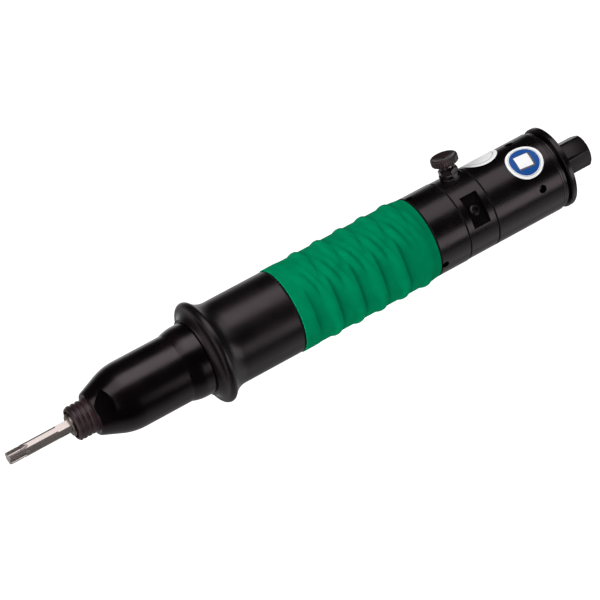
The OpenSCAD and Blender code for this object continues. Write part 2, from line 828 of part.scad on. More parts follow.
module locating_screw() {
    color([0.2, 0.2, 0.21])
    at_turn((valve_front + valve_rear)/2, window_turn) difference() {
        union() {
            translate([0, 0, window_floor + fit]) rotate_extrude() polygon([
                [0, 0], [screw_head_d/2, 0], [screw_head_d/2, screw_head_len*2/3],
                [screw_head_d/2 - screw_head_len/3, screw_head_len], [0, screw_head_len]
            ]);
            translate([0, 0, window_floor - screw_len])
                cylinder(h = screw_len + screw_head_len/2, d = screw_d);
        }
        translate([0, 0, window_floor + screw_head_len/3])
            cylinder(h = screw_head_len, d = screw_head_d*socket_share, $fn = 6);
    }
}

module gland_nut() {
    color([0.16, 0.15, 0.16])
    translate([button_x, 0, 0]) difference() {
        union() {
            intersection() {
                translate([0, 0, boss_top + fit]) rotate([0, 0, gland_turn])
                    cylinder(h = gland_len, d = gland_w/cos(30), $fn = 6);
                rotate_extrude() polygon([
                    [0, boss_top], [gland_w, boss_top], [gland_w/2 + gland_len/3, boss_top + gland_len*2/3],
                    [gland_w/2 - gland_len/8, boss_top + gland_len + fit], [0, boss_top + gland_len + fit]
                ]);
            }
            translate([0, 0, gland_foot])
                cylinder(h = boss_top - gland_foot + gland_len/2, d = gland_shank_d);
        }
        translate([0, 0, gland_foot - over]) cylinder(h = boss_top, d = spool_d + 2*running);
    }
}

module o_rings() {
    color([0.08, 0.08, 0.08]) {
        wire_ring(valve_front - body_spigot_len + oring_d, motor_bore_d - 2*fit - oring_d, oring_d);
        wire_ring(valve_rear + body_overlap - oring_d, rear_bore_d - 2*fit - oring_d, oring_d);
    }
}

module motor_casing() {
    r = motor_shoulder_d/2;
    tube_r = motor_tube_d/2;
    color([0.13, 0.12, 0.13])
    difference() {
        turned([
            [motor_bore_d/2, ring_front], [tube_r - edge_break, ring_front],
            [tube_r, ring_front + edge_break], [tube_r, grip_rear],
            [r - edge_break, grip_rear], [r, grip_rear + edge_break],
            [r, valve_front - edge_break], [r - edge_break, valve_front],
            [motor_bore_d/2, valve_front]
        ]);
        spanner_holes(grip_rear + motor_hole_at, motor_hole_d, motor_shoulder_d, motor_hole_count,
            motor_hole_turn);
    }
}

// Height of a rib along its length: a short rise and a longer fall
function rib_height(t) = t < rise_share ? ease(t/rise_share) : ease((1 - t)/(1 - rise_share));

module grip_sleeve() {
    ribs = [for (k = [0:rib_count - 1]) for (i = [0:rib_steps]) let (t = i/rib_steps)
        [grip_d/2 + rib_rise*rib_height(t), grip_front + rib_start + k*rib_pitch + rib_len*t]];
    color([0.0, 0.5, 0.33])
    turned(concat(
        [[motor_tube_d/2 + fit, grip_front], [grip_front_d/2 - edge_break, grip_front],
         [grip_front_d/2, grip_front + edge_break],
         [grip_front_d/2, grip_front + rib_start*edge_shares[0]],
         [grip_d/2, grip_front + rib_start*edge_shares[1]]],
        ribs,
        [[grip_tail_d/2, grip_rear - edge_break], [grip_tail_d/2 - edge_break, grip_rear],
         [motor_tube_d/2 + fit, grip_rear]]
    ));
}

// Motor

module port_spacer() {
    color([0.72, 0.72, 0.74])
    pipe(rear_plate_rear, valve_front - body_spigot_len, motor_bore_d - 2*fit,
        motor_bore_d - 2*spacer_wall);
}

module end_plate(x0, x1, pocket_x0, pocket_x1) {
    difference() {
        bar(x0, x1, motor_bore_d - 2*fit);
        bar(x0 - over, x1 + over, bearing_bore_d + 4*running);
        bar(pocket_x0, pocket_x1, bearing_outer_d + 2*fit);
    }
}

module rear_end_plate() {
    color([0.6, 0.6, 0.62])
    end_plate(rear_plate_front, rear_plate_rear, rear_plate_rear - bearing_len, rear_plate_rear + over);
}

module front_end_plate() {
    color([0.6, 0.6, 0.62])
    end_plate(gear_rear, front_plate_rear, gear_rear - over, gear_rear + bearing_len);
}

module motor_cylinder() {
    color([0.66, 0.65, 0.63])
    difference() {
        bar(front_plate_rear, rear_plate_front, motor_bore_d - 2*fit);
        translate([0, 0, cylinder_offset])
            bar(front_plate_rear - over, rear_plate_front + over, cylinder_bore_d);
        for (i = [1:exhaust_port_count])
            at_turn(front_plate_rear + cylinder_len*i/(exhaust_port_count + 1), 180)
                cylinder(h = motor_bore_d, d = exhaust_port_d);
    }
}

module motor_bearing_outers() {
    color([0.75, 0.75, 0.77])
    for (x = [gear_rear, rear_plate_rear - bearing_len])
        bearing_outer(x, bearing_bore_d, bearing_outer_d, bearing_len, bearing_ball_d);
}

module motor_bearing_inners() {
    color([0.75, 0.75, 0.77])
    for (x = [gear_rear, rear_plate_rear - bearing_len])
        bearing_inner(x, bearing_bore_d, bearing_outer_d, bearing_len, bearing_ball_d);
}

module motor_bearing_balls() {
    color([0.85, 0.85, 0.86])
    for (x = [gear_rear, rear_plate_rear - bearing_len])
        bearing_ball_set(x, bearing_bore_d, bearing_outer_d, bearing_len, bearing_ball_d, bearing_balls);
}

module vane_blocks(w, depth, play) {
    for (i = [0:vane_count - 1])
        at_turn(front_plate_rear + end_play + play, 360*i/vane_count)
            translate([0, -w/2, rotor_d/2 - depth])
                cube([cylinder_len - 2*end_play - 2*play, w, depth - play]);
}

module rotor() {
    shaft_d = bearing_bore_d - 2*fit;
    color([0.55, 0.55, 0.57])
    difference() {
        union() {
            bar(front_plate_rear + end_play, rear_plate_front - end_play, rotor_d);
            bar(gear_rear, rear_plate_rear, shaft_d);
            sun(planets_1_front, gear_rear + fit);
        }
        bar(planets_1_front - over, rear_plate_rear + over, rod_way_d);
        for (i = [0:vane_count - 1])
            at_turn(front_plate_rear, 360*i/vane_count)
                translate([0, -vane_w/2 - slot_play, rotor_d/2 - vane_depth - slot_play])
                    cube([cylinder_len, vane_w + 2*slot_play, vane_depth + over]);
    }
}

module vanes() {
    color([0.45, 0.27, 0.15])
    vane_blocks(vane_w, vane_depth, slot_play);
}

// Gearing

module ring_gear() {
    root_r = ring_pitch_r + dedendum_share*gear_module;
    tip_r = ring_pitch_r - addendum_share*gear_module;
    color([0.5, 0.5, 0.52])
    difference() {
        bar(ring_front, gear_rear, motor_bore_d - 2*fit);
        translate([ring_front - over, 0, 0]) rotate([0, 90, 0]) rotate([0, 0, 180])
            linear_extrude(gear_rear - ring_front + 2*over)
                polygon(gear_outline(ring_pitch_r, ring_teeth, root_r, tip_r, -tooth_play));
    }
}

module carrier_1() {
    color([0.58, 0.58, 0.6])
    difference() {
        union() {
            bar(carrier_1_front, carrier_1_rear, carrier_d);
            sun(planets_2_front, carrier_1_front + fit);
        }
        bar(planets_2_front - over, carrier_1_rear + over, rod_way_d);
        pin_holes(carrier_1_front, carrier_1_rear);
    }
}

module carrier_1_pins() {
    color([0.78, 0.78, 0.8])
    planet_pins(carrier_1_front, planets_1_rear);
}

module planet_1a() {
    color([0.7, 0.62, 0.4])
    planet(planets_1_front, planets_1_rear, 0);
}

module planet_1b() {
    color([0.7, 0.62, 0.4])
    planet(planets_1_front, planets_1_rear, 1);
}

module planet_1c() {
    color([0.7, 0.62, 0.4])
    planet(planets_1_front, planets_1_rear, 2);
}

module carrier_2() {
    color([0.58, 0.58, 0.6])
    difference() {
        union() {
            bar(carrier_2_front, carrier_2_rear, carrier_d);
            bar(output_rear, carrier_2_front, hub_d);
            bar(output_front, output_rear, output_bore_d - 2*fit);
            bar(nut_front - thread_run, output_front, thread_d);
            hex_bar(shaft_front, nut_front, drive_hex_w);
        }
        bar(shaft_front - over, carrier_2_rear + over, rod_way_d);
        pin_holes(carrier_2_front, carrier_2_rear);
    }
}

module carrier_2_pins() {
    color([0.78, 0.78, 0.8])
    planet_pins(carrier_2_front, planets_2_rear);
}

module planet_2a() {
    color([0.7, 0.62, 0.4])
    planet(planets_2_front, planets_2_rear, 0);
}

module planet_2b() {
    color([0.7, 0.62, 0.4])
    planet(planets_2_front, planets_2_rear, 1);
}

module planet_2c() {
    color([0.7, 0.62, 0.4])
    planet(planets_2_front, planets_2_rear, 2);
}

module output_bearing_outer() {
    color([0.75, 0.75, 0.77])
    bearing_outer(output_front, output_bore_d, output_outer_d, output_bearing_len, output_ball_d);
}

module output_bearing_inner() {
    color([0.75, 0.75, 0.77])
    bearing_inner(output_front, output_bore_d, output_outer_d, output_bearing_len, output_ball_d);
}

module output_bearing_balls() {
    color([0.85, 0.85, 0.86])
    bearing_ball_set(output_front, output_bore_d, output_outer_d, output_bearing_len, output_ball_d,
        output_balls);
}

// Clutch

module adjusting_nut() {
    color([0.3, 0.3, 0.32])
    difference() {
        pipe(nut_front, nut_rear, clutch_d, thread_d + 2*fit);
        for (i = [0:nut_notches - 1])
            at_turn(nut_front - over, 360*i/nut_notches)
                translate([0, -nut_notch_w/2, clutch_d/2 - nut_notch_w/2])
                    cube([nut_len/2 + over, nut_notch_w, nut_notch_w]);
    }
}

module clutch_spring() {
    color([0.35, 0.35, 0.4])
    translate([washer_rear + fit, 0, 0]) rotate([0, 90, 0])
        coil_spring(clutch_coil_d, clutch_wire_d, clutch_spring_len - 2*fit, clutch_coils);
}

module clutch_washer() {
    color([0.7, 0.7, 0.72])
    pipe(driver_rear, washer_rear, clutch_d, thread_d + 4*running);
}

module clutch_ball_set(d) {
    for (i = [0:clutch_ball_count - 1])
        at_turn(ball_x, 360*i/clutch_ball_count) translate([0, 0, ball_orbit]) sphere(d = d);
}

module clutch_driver() {
    color([0.45, 0.45, 0.47])
    difference() {
        bar(driver_front, driver_rear, clutch_d);
        hex_bar(driver_front - over, driver_rear + over, drive_hex_w + 2*running);
        clutch_ball_set(clutch_ball_d + 2*running);
    }
}

module clutch_balls() {
    color([0.85, 0.85, 0.86])
    clutch_ball_set(clutch_ball_d);
}

module clutch_jaw() {
    color([0.45, 0.45, 0.47])
    difference() {
        union() {
            bar(jaw_rear - jaw_flange_len, jaw_rear, clutch_d);
            bar(jaw_front, jaw_rear - jaw_flange_len, jaw_d);
        }
        hex_bar(jaw_front - over, jaw_rear + over, jaw_hex_w);
        clutch_ball_set(clutch_ball_d + 2*running);
    }
}

module jaw_bush() {
    front = jaw_rear - jaw_flange_len - end_play;
    color([0.72, 0.55, 0.3])
    difference() {
        union() {
            bar(spigot_front, front, clutch_room_d - 2*fit);
            bar(spigot_front - bush_flange_len, spigot_front, spigot_d - 2*fit);
        }
        bar(spigot_front - bush_flange_len - over, front + over, jaw_d + 2*running);
    }
}

module clutch_casing() {
    r = clutch_casing_d/2;
    edge_c = [collar_d/2 - collar_edge_r, collar_front + collar_edge_at];
    // The sweep leaves the rounded edge where the two circles touch
    sweep_r = r + collar_sweep_r;
    drop = sweep_r - edge_c[0];
    reach = sqrt(pow(collar_sweep_r + collar_edge_r, 2) - pow(drop, 2));
    sweep_c = [sweep_r, edge_c[1] + reach];
    meet = atan2(reach, drop);
    // The front sweep starts at the lip and touches the rounded edge
    lip = [collar_lip_d/2, collar_front];
    span = norm(lip - edge_c);
    way = (lip - edge_c)/span;
    joined = collar_edge_r + collar_front_r;
    along = (pow(joined, 2) - pow(collar_front_r, 2) + pow(span, 2))/(2*span);
    aside = sqrt(pow(joined, 2) - pow(along, 2));
    front_c = edge_c + along*way + aside*[-way[1], way[0]];
    leave = atan2(lip[1] - front_c[1], lip[0] - front_c[0]);
    touch = atan2(edge_c[1] - front_c[1], edge_c[0] - front_c[0]);
    seat = output_rear + end_play;
    color([0.13, 0.12, 0.13])
    difference() {
        union() {
            turned(concat(
                [[0, collar_front]],
                arc(front_c, collar_front_r, leave, touch, 8),
                arc(edge_c, collar_edge_r, touch - 180, meet, 10),
                arc(sweep_c, collar_sweep_r, 180 + meet, 180, 8),
                [[r, grip_front - edge_break], [r - edge_break, grip_front], [0, grip_front]]
            ));
            bar(spigot_front, collar_front, spigot_d);
        }
        bar(spigot_front - over, output_front + over, clutch_room_d);
        bar(output_front, seat, output_outer_d + 2*fit);
        bar(seat - fit, ring_front, output_outer_d);
        bar(ring_front, grip_front + over, motor_tube_d + 2*fit);
    }
}

// Nose, spindle and bit

module nose_sleeve() {
    r = nose_d/2;
    rear_r = nose_rear_d/2;
    face_r = nose_face_d/2;
    round_c = [r - nose_round_r, nose_face + nose_taper_len];
    away = [face_r - round_c[0], -nose_taper_len];
    touch = atan2(away[1], away[0]) + acos(nose_round_r/norm(away));
    swell_rear = collar_front - nose_band_len;
    swell = [for (i = [0:8]) let (t = i/8)
        [r + (rear_r - r)*(1 - pow(1 - t, 2)), swell_rear - nose_swell_len*(1 - t)]];
    shelf = spigot_front - bush_flange_len;
    color([0.15, 0.13, 0.14])
    difference() {
        turned(concat(
            [[0, nose_face], [face_r - nose_edge, nose_face], [face_r, nose_face + nose_edge]],
            arc(round_c, nose_round_r, touch, 0, 8),
            swell,
            [[rear_r, collar_front - edge_break], [rear_r - edge_break, collar_front], [0, collar_front]]
        ));
        bar(nose_face - over, bushing_seat, bushing_body_d + 2*fit);
        bar(bushing_seat, nose_face + nose_taper_len, bushing_flange_d + 2*fit);
        bar(nose_face + nose_taper_len - over, shelf, nose_d - 2*nose_wall);
        bar(shelf, collar_front + over, spigot_d + 2*fit);
        for (side = [0, 180])
            at_turn(nose_face + flats_len - flats_cutter_r, flats_turn + side)
                translate([0, 0, flats_w/2]) cylinder(h = nose_d, r = flats_cutter_r);
    }
}

module thread_bushing() {
    r = nose_thread_d/2;
    color([0.16, 0.14, 0.15])
    difference() {
        union() {
            turned([
                [0, thread_front], [r - nose_thread_bevel, thread_front],
                [r, thread_front + nose_thread_bevel], [r, nose_face], [0, nose_face]
            ]);
            bar(nose_face, bushing_seat, bushing_body_d);
            bar(bushing_seat, bushing_seat + bushing_flange_len, bushing_flange_d);
            bar(bushing_seat, bushing_rear, bushing_tail_d);
        }
        bar(thread_front - over, bushing_rear + over, spindle_d + 2*bush_wall);
    }
}

module spindle_bush() {
    color([0.72, 0.55, 0.3])
    pipe(thread_front + nose_thread_bevel, bushing_rear, spindle_d + 2*bush_wall - 2*fit,
        spindle_d + 2*running);
}

module spindle() {
    flange_at = bushing_rear + end_play;
    socket_rear = bit_rear + end_play;
    bevel = edge_break;
    color([0.3, 0.29, 0.3])
    difference() {
        union() {
            turned([
                [0, spindle_front], [spindle_d/2 - bevel, spindle_front],
                [spindle_d/2, spindle_front + bevel], [spindle_d/2, flange_at], [0, flange_at]
            ]);
            bar(flange_at, flange_at + spindle_flange_len, spindle_flange_d);
            hex_bar(flange_at, tail_rear, tail_hex_w);
        }
        rotate([bit_turn, 0, 0]) hex_bar(spindle_front - over, socket_rear, bit_w + 2*socket_play);
        at_turn(bit_rear - bit_groove_at, bit_turn + 30) cylinder(h = spindle_d, d = bit_ball_d + 2*fit);
        wire_ring(spindle_front + ring_wire_d, spindle_d - ring_wire_d, ring_wire_d + 2*fit);
    }
}

module bit_ring() {
    color([0.85, 0.84, 0.82])
    wire_ring(spindle_front + ring_wire_d, spindle_d - ring_wire_d, ring_wire_d);
}

module bit_ball() {
    color([0.85, 0.85, 0.86])
    at_turn(bit_rear - bit_groove_at, bit_turn + 30)
        translate([0, 0, spindle_d/2 - bit_ball_d/2]) sphere(d = bit_ball_d);
}

module bit() {
    hex_front = bit_tip + bit_neck_len;
    lobe_rear = bit_tip + lobe_len;
    hollow_d = 2*lobe_d*hollow_share;
    hollow_at = lobe_root_d/2 + hollow_d/2;
    groove_mid = bit_rear - bit_groove_at;
    groove_r = bit_groove_d/2;
    flare = bit_w/2/cos(30) - groove_r;
    groove_half = (bit_groove_len - flare)/2;
    color([0.75, 0.73, 0.71])
    rotate([bit_turn, 0, 0]) difference() {
        union() {
            intersection() {
                hex_bar(hex_front, bit_rear, bit_w);
                turned([
                    [0, hex_front], [bit_neck_d/2, hex_front], [bit_w, hex_front + 2*bit_bevel],
                    [bit_w, groove_mid - groove_half - 2*flare], [groove_r, groove_mid - groove_half],
                    [groove_r, groove_mid + groove_half], [bit_w, groove_mid + groove_half + 2*flare],
                    [bit_w, bit_rear - 2*bit_bevel], [bit_w/2 - bit_bevel/2, bit_rear], [0, bit_rear]
                ]);
            }
            intersection() {
                hex_bar(lobe_rear, hex_front, bit_w);
                bar(lobe_rear, hex_front, bit_neck_d);
            }
            turned([
                [0, bit_tip], [lobe_d/2 - bit_bevel/2, bit_tip], [lobe_d/2, bit_tip + bit_bevel/2],
                [lobe_d/2, lobe_rear], [0, lobe_rear]
            ]);
        }
        for (i = [0:5]) rotate([60*i + 30, 0, 0]) {
            translate([0, 0, hollow_at]) bar(bit_tip - over, lobe_rear, hollow_d);
            translate([lobe_rear, 0, hollow_at]) rotate([0, -runout_angle, 0])
                bar(-bit_bevel, lobe_len, hollow_d*runout_widening);
        }
    }
}

// Throttle

module push_rod() {
    color([0.8, 0.8, 0.82])
    bar(tail_rear + fit, inlet_nose - fit, rod_d);
}

module throttle_valve() {
    color([0.2, 0.2, 0.2]) {
        bar(inlet_nose + fit, inlet_nose + throttle_disc_len, throttle_disc_d);
        bar(inlet_nose + fit, inlet_nose + throttle_disc_len + throttle_stem_len, throttle_stem_d);
    }
}

module throttle_spring() {
    color([0.35, 0.35, 0.4])
    translate([inlet_nose + throttle_disc_len + fit, 0, 0]) rotate([0, 90, 0])
        coil_spring(throttle_coil_d, throttle_wire_d, spring_room - throttle_disc_len - 2*fit,
            throttle_coils);
}

// Reversing button

module reverse_knob() {
    r = knob_d/2;
    dish_r = r - knob_edge_r;
    sphere_r = (pow(dish_r, 2) + pow(knob_dish, 2))/(2*knob_dish);
    color([0.14, 0.12, 0.13])
    translate([button_x, 0, 0]) difference() {
        rotate_extrude() polygon(concat(
            [[0, knob_foot], [spool_d/2 + edge_break, knob_foot]],
            arc([r - knob_edge_r, knob_foot + knob_edge_r], knob_edge_r, -90, 0, 5),
            arc([r - knob_edge_r, knob_top - knob_edge_r], knob_edge_r, 0, 90, 5),
            [for (i = [1:6]) let (a = asin(dish_r*(6 - i)/(6*sphere_r)))
                [sphere_r*sin(a), knob_top + sphere_r - knob_dish - sphere_r*cos(a)]]
        ));
        translate([0, 0, knob_top - knob_dish]) sphere(d = knob_dimple_d);
        translate([0, 0, knob_foot - over]) cylinder(h = knob_socket + over, d = spool_d + 2*fit);
    }
}

module reverse_spool() {
    r = spool_d/2;
    neck_r = spool_neck_d/2;
    stop_foot = spool_stop_top - spool_stop_len;
    land = port_hole_d*land_share;
    color([0.72, 0.72, 0.74])
    translate([button_x, 0, 0]) difference() {
        rotate_extrude() polygon([
            [0, spool_foot], [r, spool_foot], [r, spool_foot + land],
            [neck_r, spool_foot + land], [neck_r, port_b_at - land],
            [r, port_b_at - land], [r, stop_foot], [spool_stop_d/2, stop_foot],
            [spool_stop_d/2, spool_stop_top], [r, spool_stop_top],
            [r, knob_foot + knob_socket - fit], [0, knob_foot + knob_socket - fit]
        ]);
        for (z = [gland_foot + spool_ring_d*2, boss_top + gland_len - spool_ring_d*2])
            translate([0, 0, z]) rotate_extrude()
                translate([r - spool_ring_d/2, 0]) circle(d = spool_ring_d + 2*running);
    }
}

module spool_rings() {
    color([0.08, 0.08, 0.08])
    translate([button_x, 0, 0])
        for (z = [gland_foot + spool_ring_d*2, boss_top + gland_len - spool_ring_d*2])
            translate([0, 0, z]) rotate_extrude()
                translate([spool_d/2 - spool_ring_d/2, 0]) circle(d = spool_ring_d);
}

module button_spring() {
    color([0.35, 0.35, 0.4])
    translate([button_x, 0, spool_floor + fit])
        coil_spring(button_coil_d, button_wire_d, spool_foot - spool_floor - 2*fit, button_coils);
}

inlet_bushing();
inlet_strainer();
rear_cap();
rear_casing();
silencer_ring();
valve_ring();
valve_body();
valve_seat();
locating_screw();
gland_nut();
o_rings();
motor_casing();
grip_sleeve();
port_spacer();
rear_end_plate();
motor_cylinder();
front_end_plate();
motor_bearing_outers();
motor_bearing_balls();
ring_gear();
output_bearing_outer();
output_bearing_balls();
clutch_casing();
jaw_bush();
nose_sleeve();
thread_bushing();
spindle_bush();
rotor();
vanes();
motor_bearing_inners();
carrier_1();
carrier_1_pins();
planet_1a();
planet_1b();
planet_1c();
carrier_2();
carrier_2_pins();
planet_2a();
planet_2b();
planet_2c();
output_bearing_inner();
adjusting_nut();
clutch_spring();
clutch_driver();
clutch_balls();
clutch_washer();
clutch_jaw();
push_rod();
throttle_valve();
throttle_spring();
spindle();
bit_ball();
bit_ring();
bit();
reverse_knob();
reverse_spool();
spool_rings();
button_spring();
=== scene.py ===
"""Looks for the pneumatic screwdriver: finishes of every CAD node, the grip's wave ribs,
the threads, the knurled button, the springs, two plain stickers, the studio and the camera."""

import bmesh
import bpy
import json
import math
from mathutils import Matrix, Vector


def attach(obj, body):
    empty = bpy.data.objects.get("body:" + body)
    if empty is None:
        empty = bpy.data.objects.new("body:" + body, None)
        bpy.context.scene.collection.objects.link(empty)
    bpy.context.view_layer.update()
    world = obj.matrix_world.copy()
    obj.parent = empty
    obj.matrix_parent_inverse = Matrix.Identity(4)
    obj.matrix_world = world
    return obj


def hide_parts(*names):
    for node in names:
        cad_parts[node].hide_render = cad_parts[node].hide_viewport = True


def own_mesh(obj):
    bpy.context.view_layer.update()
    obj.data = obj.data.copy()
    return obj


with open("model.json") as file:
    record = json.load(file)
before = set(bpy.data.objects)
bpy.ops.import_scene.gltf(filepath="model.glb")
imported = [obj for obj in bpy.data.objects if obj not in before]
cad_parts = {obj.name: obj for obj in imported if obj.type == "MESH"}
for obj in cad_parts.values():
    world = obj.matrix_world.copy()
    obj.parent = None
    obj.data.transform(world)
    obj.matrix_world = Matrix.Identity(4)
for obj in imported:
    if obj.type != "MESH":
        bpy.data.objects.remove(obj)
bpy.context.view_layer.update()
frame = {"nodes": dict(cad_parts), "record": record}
NODES = frame["nodes"]
MM = 0.001

# Turn of the viewer's side from the button, in degrees about the tool's axis
VIEW_TURN = 23.0
# Radius of the rear casing in mm, and places along the axis: the grip's ends, the joints on both
# sides of the valve ring and the button
CASING_R = 21.3
GRIP_FRONT, GRIP_REAR = -182.0, -101.9
VALVE_FRONT, VALVE_REAR = -83.8, -66.5
BUTTON_X = -73.9


def smoothstep(t):
    """0 up to t = 0, 1 from t = 1 on, and a smooth passage between them."""
    t = min(1.0, max(0.0, t))
    return t * t * (3 - 2 * t)


def eased(t, start, end, low, high):
    """Low up to start, high from end on, and a smooth passage between them."""
    return low + (high - low) * smoothstep((t - start) / (end - start))


def table_value(table, t):
    """Value at t of a table of (t, value), straight between its rows."""
    if t <= table[0][0]:
        return table[0][1]
    for (t0, v0), (t1, v1) in zip(table, table[1:]):
        if t <= t1:
            return v0 + (v1 - v0) * (t - t0) / (t1 - t0)
    return table[-1][1]


# Materials
def math_node(tree, kind, a, b):
    """A math node's result from two inputs, each a number or a socket."""
    node = tree.nodes.new("ShaderNodeMath")
    node.operation = kind
    for i, v in enumerate((a, b)):
        if isinstance(v, (int, float)):
            node.inputs[i].default_value = v
        else:
            tree.links.new(v, node.inputs[i])
    return node.outputs["Value"]


class Finish:
    """A principled material whose colour, roughness and bump come from nodes."""

    def __init__(self, name, metal=0.0, spec=0.5):
        self.material = bpy.data.materials.new(name)
        self.material.use_nodes = True
        self.tree = self.material.node_tree
        self.shader = self.tree.nodes["Principled BSDF"]
        self.shader.inputs["Metallic"].default_value = metal
        self.shader.inputs["IOR"].default_value = 1.5
        self.shader.inputs["Specular IOR Level"].default_value = spec
        self.place = self.tree.nodes.new("ShaderNodeTexCoord").outputs["Object"]

    def link(self, a, b):
        self.tree.links.new(a, b)

    def math(self, kind, a, b):
        return math_node(self.tree, kind, a, b)

    def noise(self, scale, detail, rough, stretch=(1, 1, 1)):
        """Noise of the object's own coordinates, with its grain stretched by axis."""
        mapping = self.tree.nodes.new("ShaderNodeMapping")
        mapping.inputs["Scale"].default_value = stretch
        self.link(self.place, mapping.inputs["Vector"])
        node = self.tree.nodes.new("ShaderNodeTexNoise")
        node.inputs["Scale"].default_value = scale
        node.inputs["Detail"].default_value = detail
        node.inputs["Roughness"].default_value = rough
        self.link(mapping.outputs["Vector"], node.inputs["Vector"])
        return node.outputs["Fac"]

    def spread(self, value, a, b, low=0.3, high=0.7):
        """Maps a value from low..high to a..b."""
        node = self.tree.nodes.new("ShaderNodeMapRange")
        node.inputs["From Min"].default_value = low
        node.inputs["From Max"].default_value = high
        node.inputs["To Min"].default_value = a
        node.inputs["To Max"].default_value = b
        self.link(value, node.inputs["Value"])
        return node.outputs["Result"]

    def mix(self, factor, a, b):
        """Mixes two colours, given as tuples or sockets."""
        node = self.tree.nodes.new("ShaderNodeMix")
        node.data_type = "RGBA"
        self.link(factor, node.inputs["Factor"])
        for name, v in (("A", a), ("B", b)):
            target = [s for s in node.inputs if s.name == name and s.type == "RGBA"][0]
            if isinstance(v, tuple):
                target.default_value = (*v, 1.0)
            else:
                self.link(v, target)
        return [s for s in node.outputs if s.type == "RGBA"][0]

    def rings(self, places):
        """1 on narrow rings about the tool's axis, given as (x, half width) in mm, else 0."""
        apart = self.tree.nodes.new("ShaderNodeSeparateXYZ")
        self.link(self.place, apart.inputs["Vector"])
        value = 0.0
        for x, half in places:
            offset = self.math("SUBTRACT", apart.outputs["X"], x * MM)
            away = self.math("ABSOLUTE", offset, 0.0)
            ring = self.spread(away, 1.0, 0.0, low=half * 0.5 * MM, high=half * MM)
            value = self.math("MAXIMUM", value, ring)
        return value

    def color(self, value):
        self.link(value, self.shader.inputs["Base Color"])

    def roughness(self, value):
        self.link(value, self.shader.inputs["Roughness"])

    def bump(self, height, distance, strength):
        """Bump of a height, with its depth in mm."""
        node = self.tree.nodes.new("ShaderNodeBump")
        node.inputs["Strength"].default_value = strength
        node.inputs["Distance"].default_value = distance * MM
        self.link(height, node.inputs["Height"])
        self.link(node.outputs["Normal"], self.shader.inputs["Normal"])


def scaled(base, *factors):
    """A colour times one factor, or times a factor for each channel."""
    if len(factors) == 1:
        factors = factors * 3
    return tuple(c * f for c, f in zip(base, factors))


# Tint of the gloss on black finishes
BLACK_TINT = (1.0, 0.84, 0.89, 1.0)


def black_finish(name, base, rough, warm=1.0, grain=0.006, spec=0.5, rings=()):
    """Black oxide or anodised metal with fine grain, faint cloudiness and matt dark rings; the
    rings at the grip's ends are painted shade of the gaps there.
    """
    ring_shade, ring_rough = 0.2, 0.95
    f = Finish(name, spec=spec)
    f.shader.inputs["Specular Tint"].default_value = BLACK_TINT
    cloud = f.noise(scale=70, detail=3, rough=0.5)
    fine = f.noise(scale=5200, detail=2, rough=0.6)
    scuffs = f.noise(scale=260, detail=6, rough=0.7, stretch=(0.35, 1, 1))
    color = f.mix(f.spread(cloud, 0.0, 1.0), scaled(base, 0.75),
                  scaled(base, 1.5 * warm, 1.35, 1.45))
    rub = f.math("MULTIPLY", f.spread(scuffs, 0.0, 1.0, low=0.45, high=0.75), 0.05)
    level = f.math("ADD", f.spread(cloud, rough - 0.03, rough + 0.03), rub)
    # The rings darken the colour and dull the gloss; at the grip's ends this is painted shade of
    # the gap between grip and casing.
    if rings:
        mask = f.rings(rings)
        color = f.mix(mask, color, scaled(base, ring_shade))
        level = f.math("MAXIMUM", level, f.math("MULTIPLY", mask, ring_rough))
    f.color(color)
    f.roughness(level)
    f.bump(fine, grain, strength=0.5)
    return f.material


def metal_finish(name, base, rough, stretch=(1, 1, 1), scale=900, grain=0.006, metal=1.0,
                 spread=0.12):
    """Machined or ground metal, with its marks drawn out along an axis."""
    f = Finish(name, metal=metal)
    lines = f.noise(scale=scale, detail=5, rough=0.65, stretch=stretch)
    cloud = f.noise(scale=90, detail=3, rough=0.5)
    low, high = scaled(base, 1 - spread), scaled(base, 1 + spread)
    color = f.mix(f.spread(lines, 0.0, 1.0), low, high)
    f.color(f.mix(f.spread(cloud, 0.0, 0.35), color, low))
    f.roughness(f.spread(lines, rough * 0.8, rough * 1.25))
    if grain > 0:
        f.bump(lines, grain, strength=0.6)
    return f.material


def rubber_finish(name, base, rough, grain=0.03, spec=0.35, metal=0.0):
    """Matt rubber or plastic with a fine skin and faint rubbed places."""
    f = Finish(name, metal=metal, spec=spec)
    cloud = f.noise(scale=120, detail=5, rough=0.6)
    skin = f.noise(scale=3800, detail=3, rough=0.6)
    f.color(f.mix(f.spread(cloud, 0.0, 1.0), scaled(base, 0.9), scaled(base, 1.1)))
    f.roughness(f.spread(cloud, rough - 0.05, rough + 0.06))
    f.bump(skin, grain, strength=0.45)
    return f.material


def print_finish(name, base):
    """Printed film: smooth, with the faint texture and wear of its ink."""
    rough, ink_depth = 0.35, 0.002
    f = Finish(name, spec=0.2)
    ink = f.noise(scale=2600, detail=3, rough=0.6)
    wear = f.noise(scale=300, detail=5, rough=0.65)
    color = f.mix(f.spread(ink, 0.0, 1.0), scaled(base, 0.97), base)
    worn = f.spread(wear, 0.0, 0.05, low=0.5, high=0.8)
    f.color(f.mix(worn, color, scaled(base, 0.7)))
    f.roughness(f.spread(wear, rough - 0.05, rough + 0.08))
    f.bump(ink, ink_depth, strength=0.4)
    return f.material


# Stretch of turned marks: fine along the axis, long around it
TURNED = (9, 0.6, 0.6)
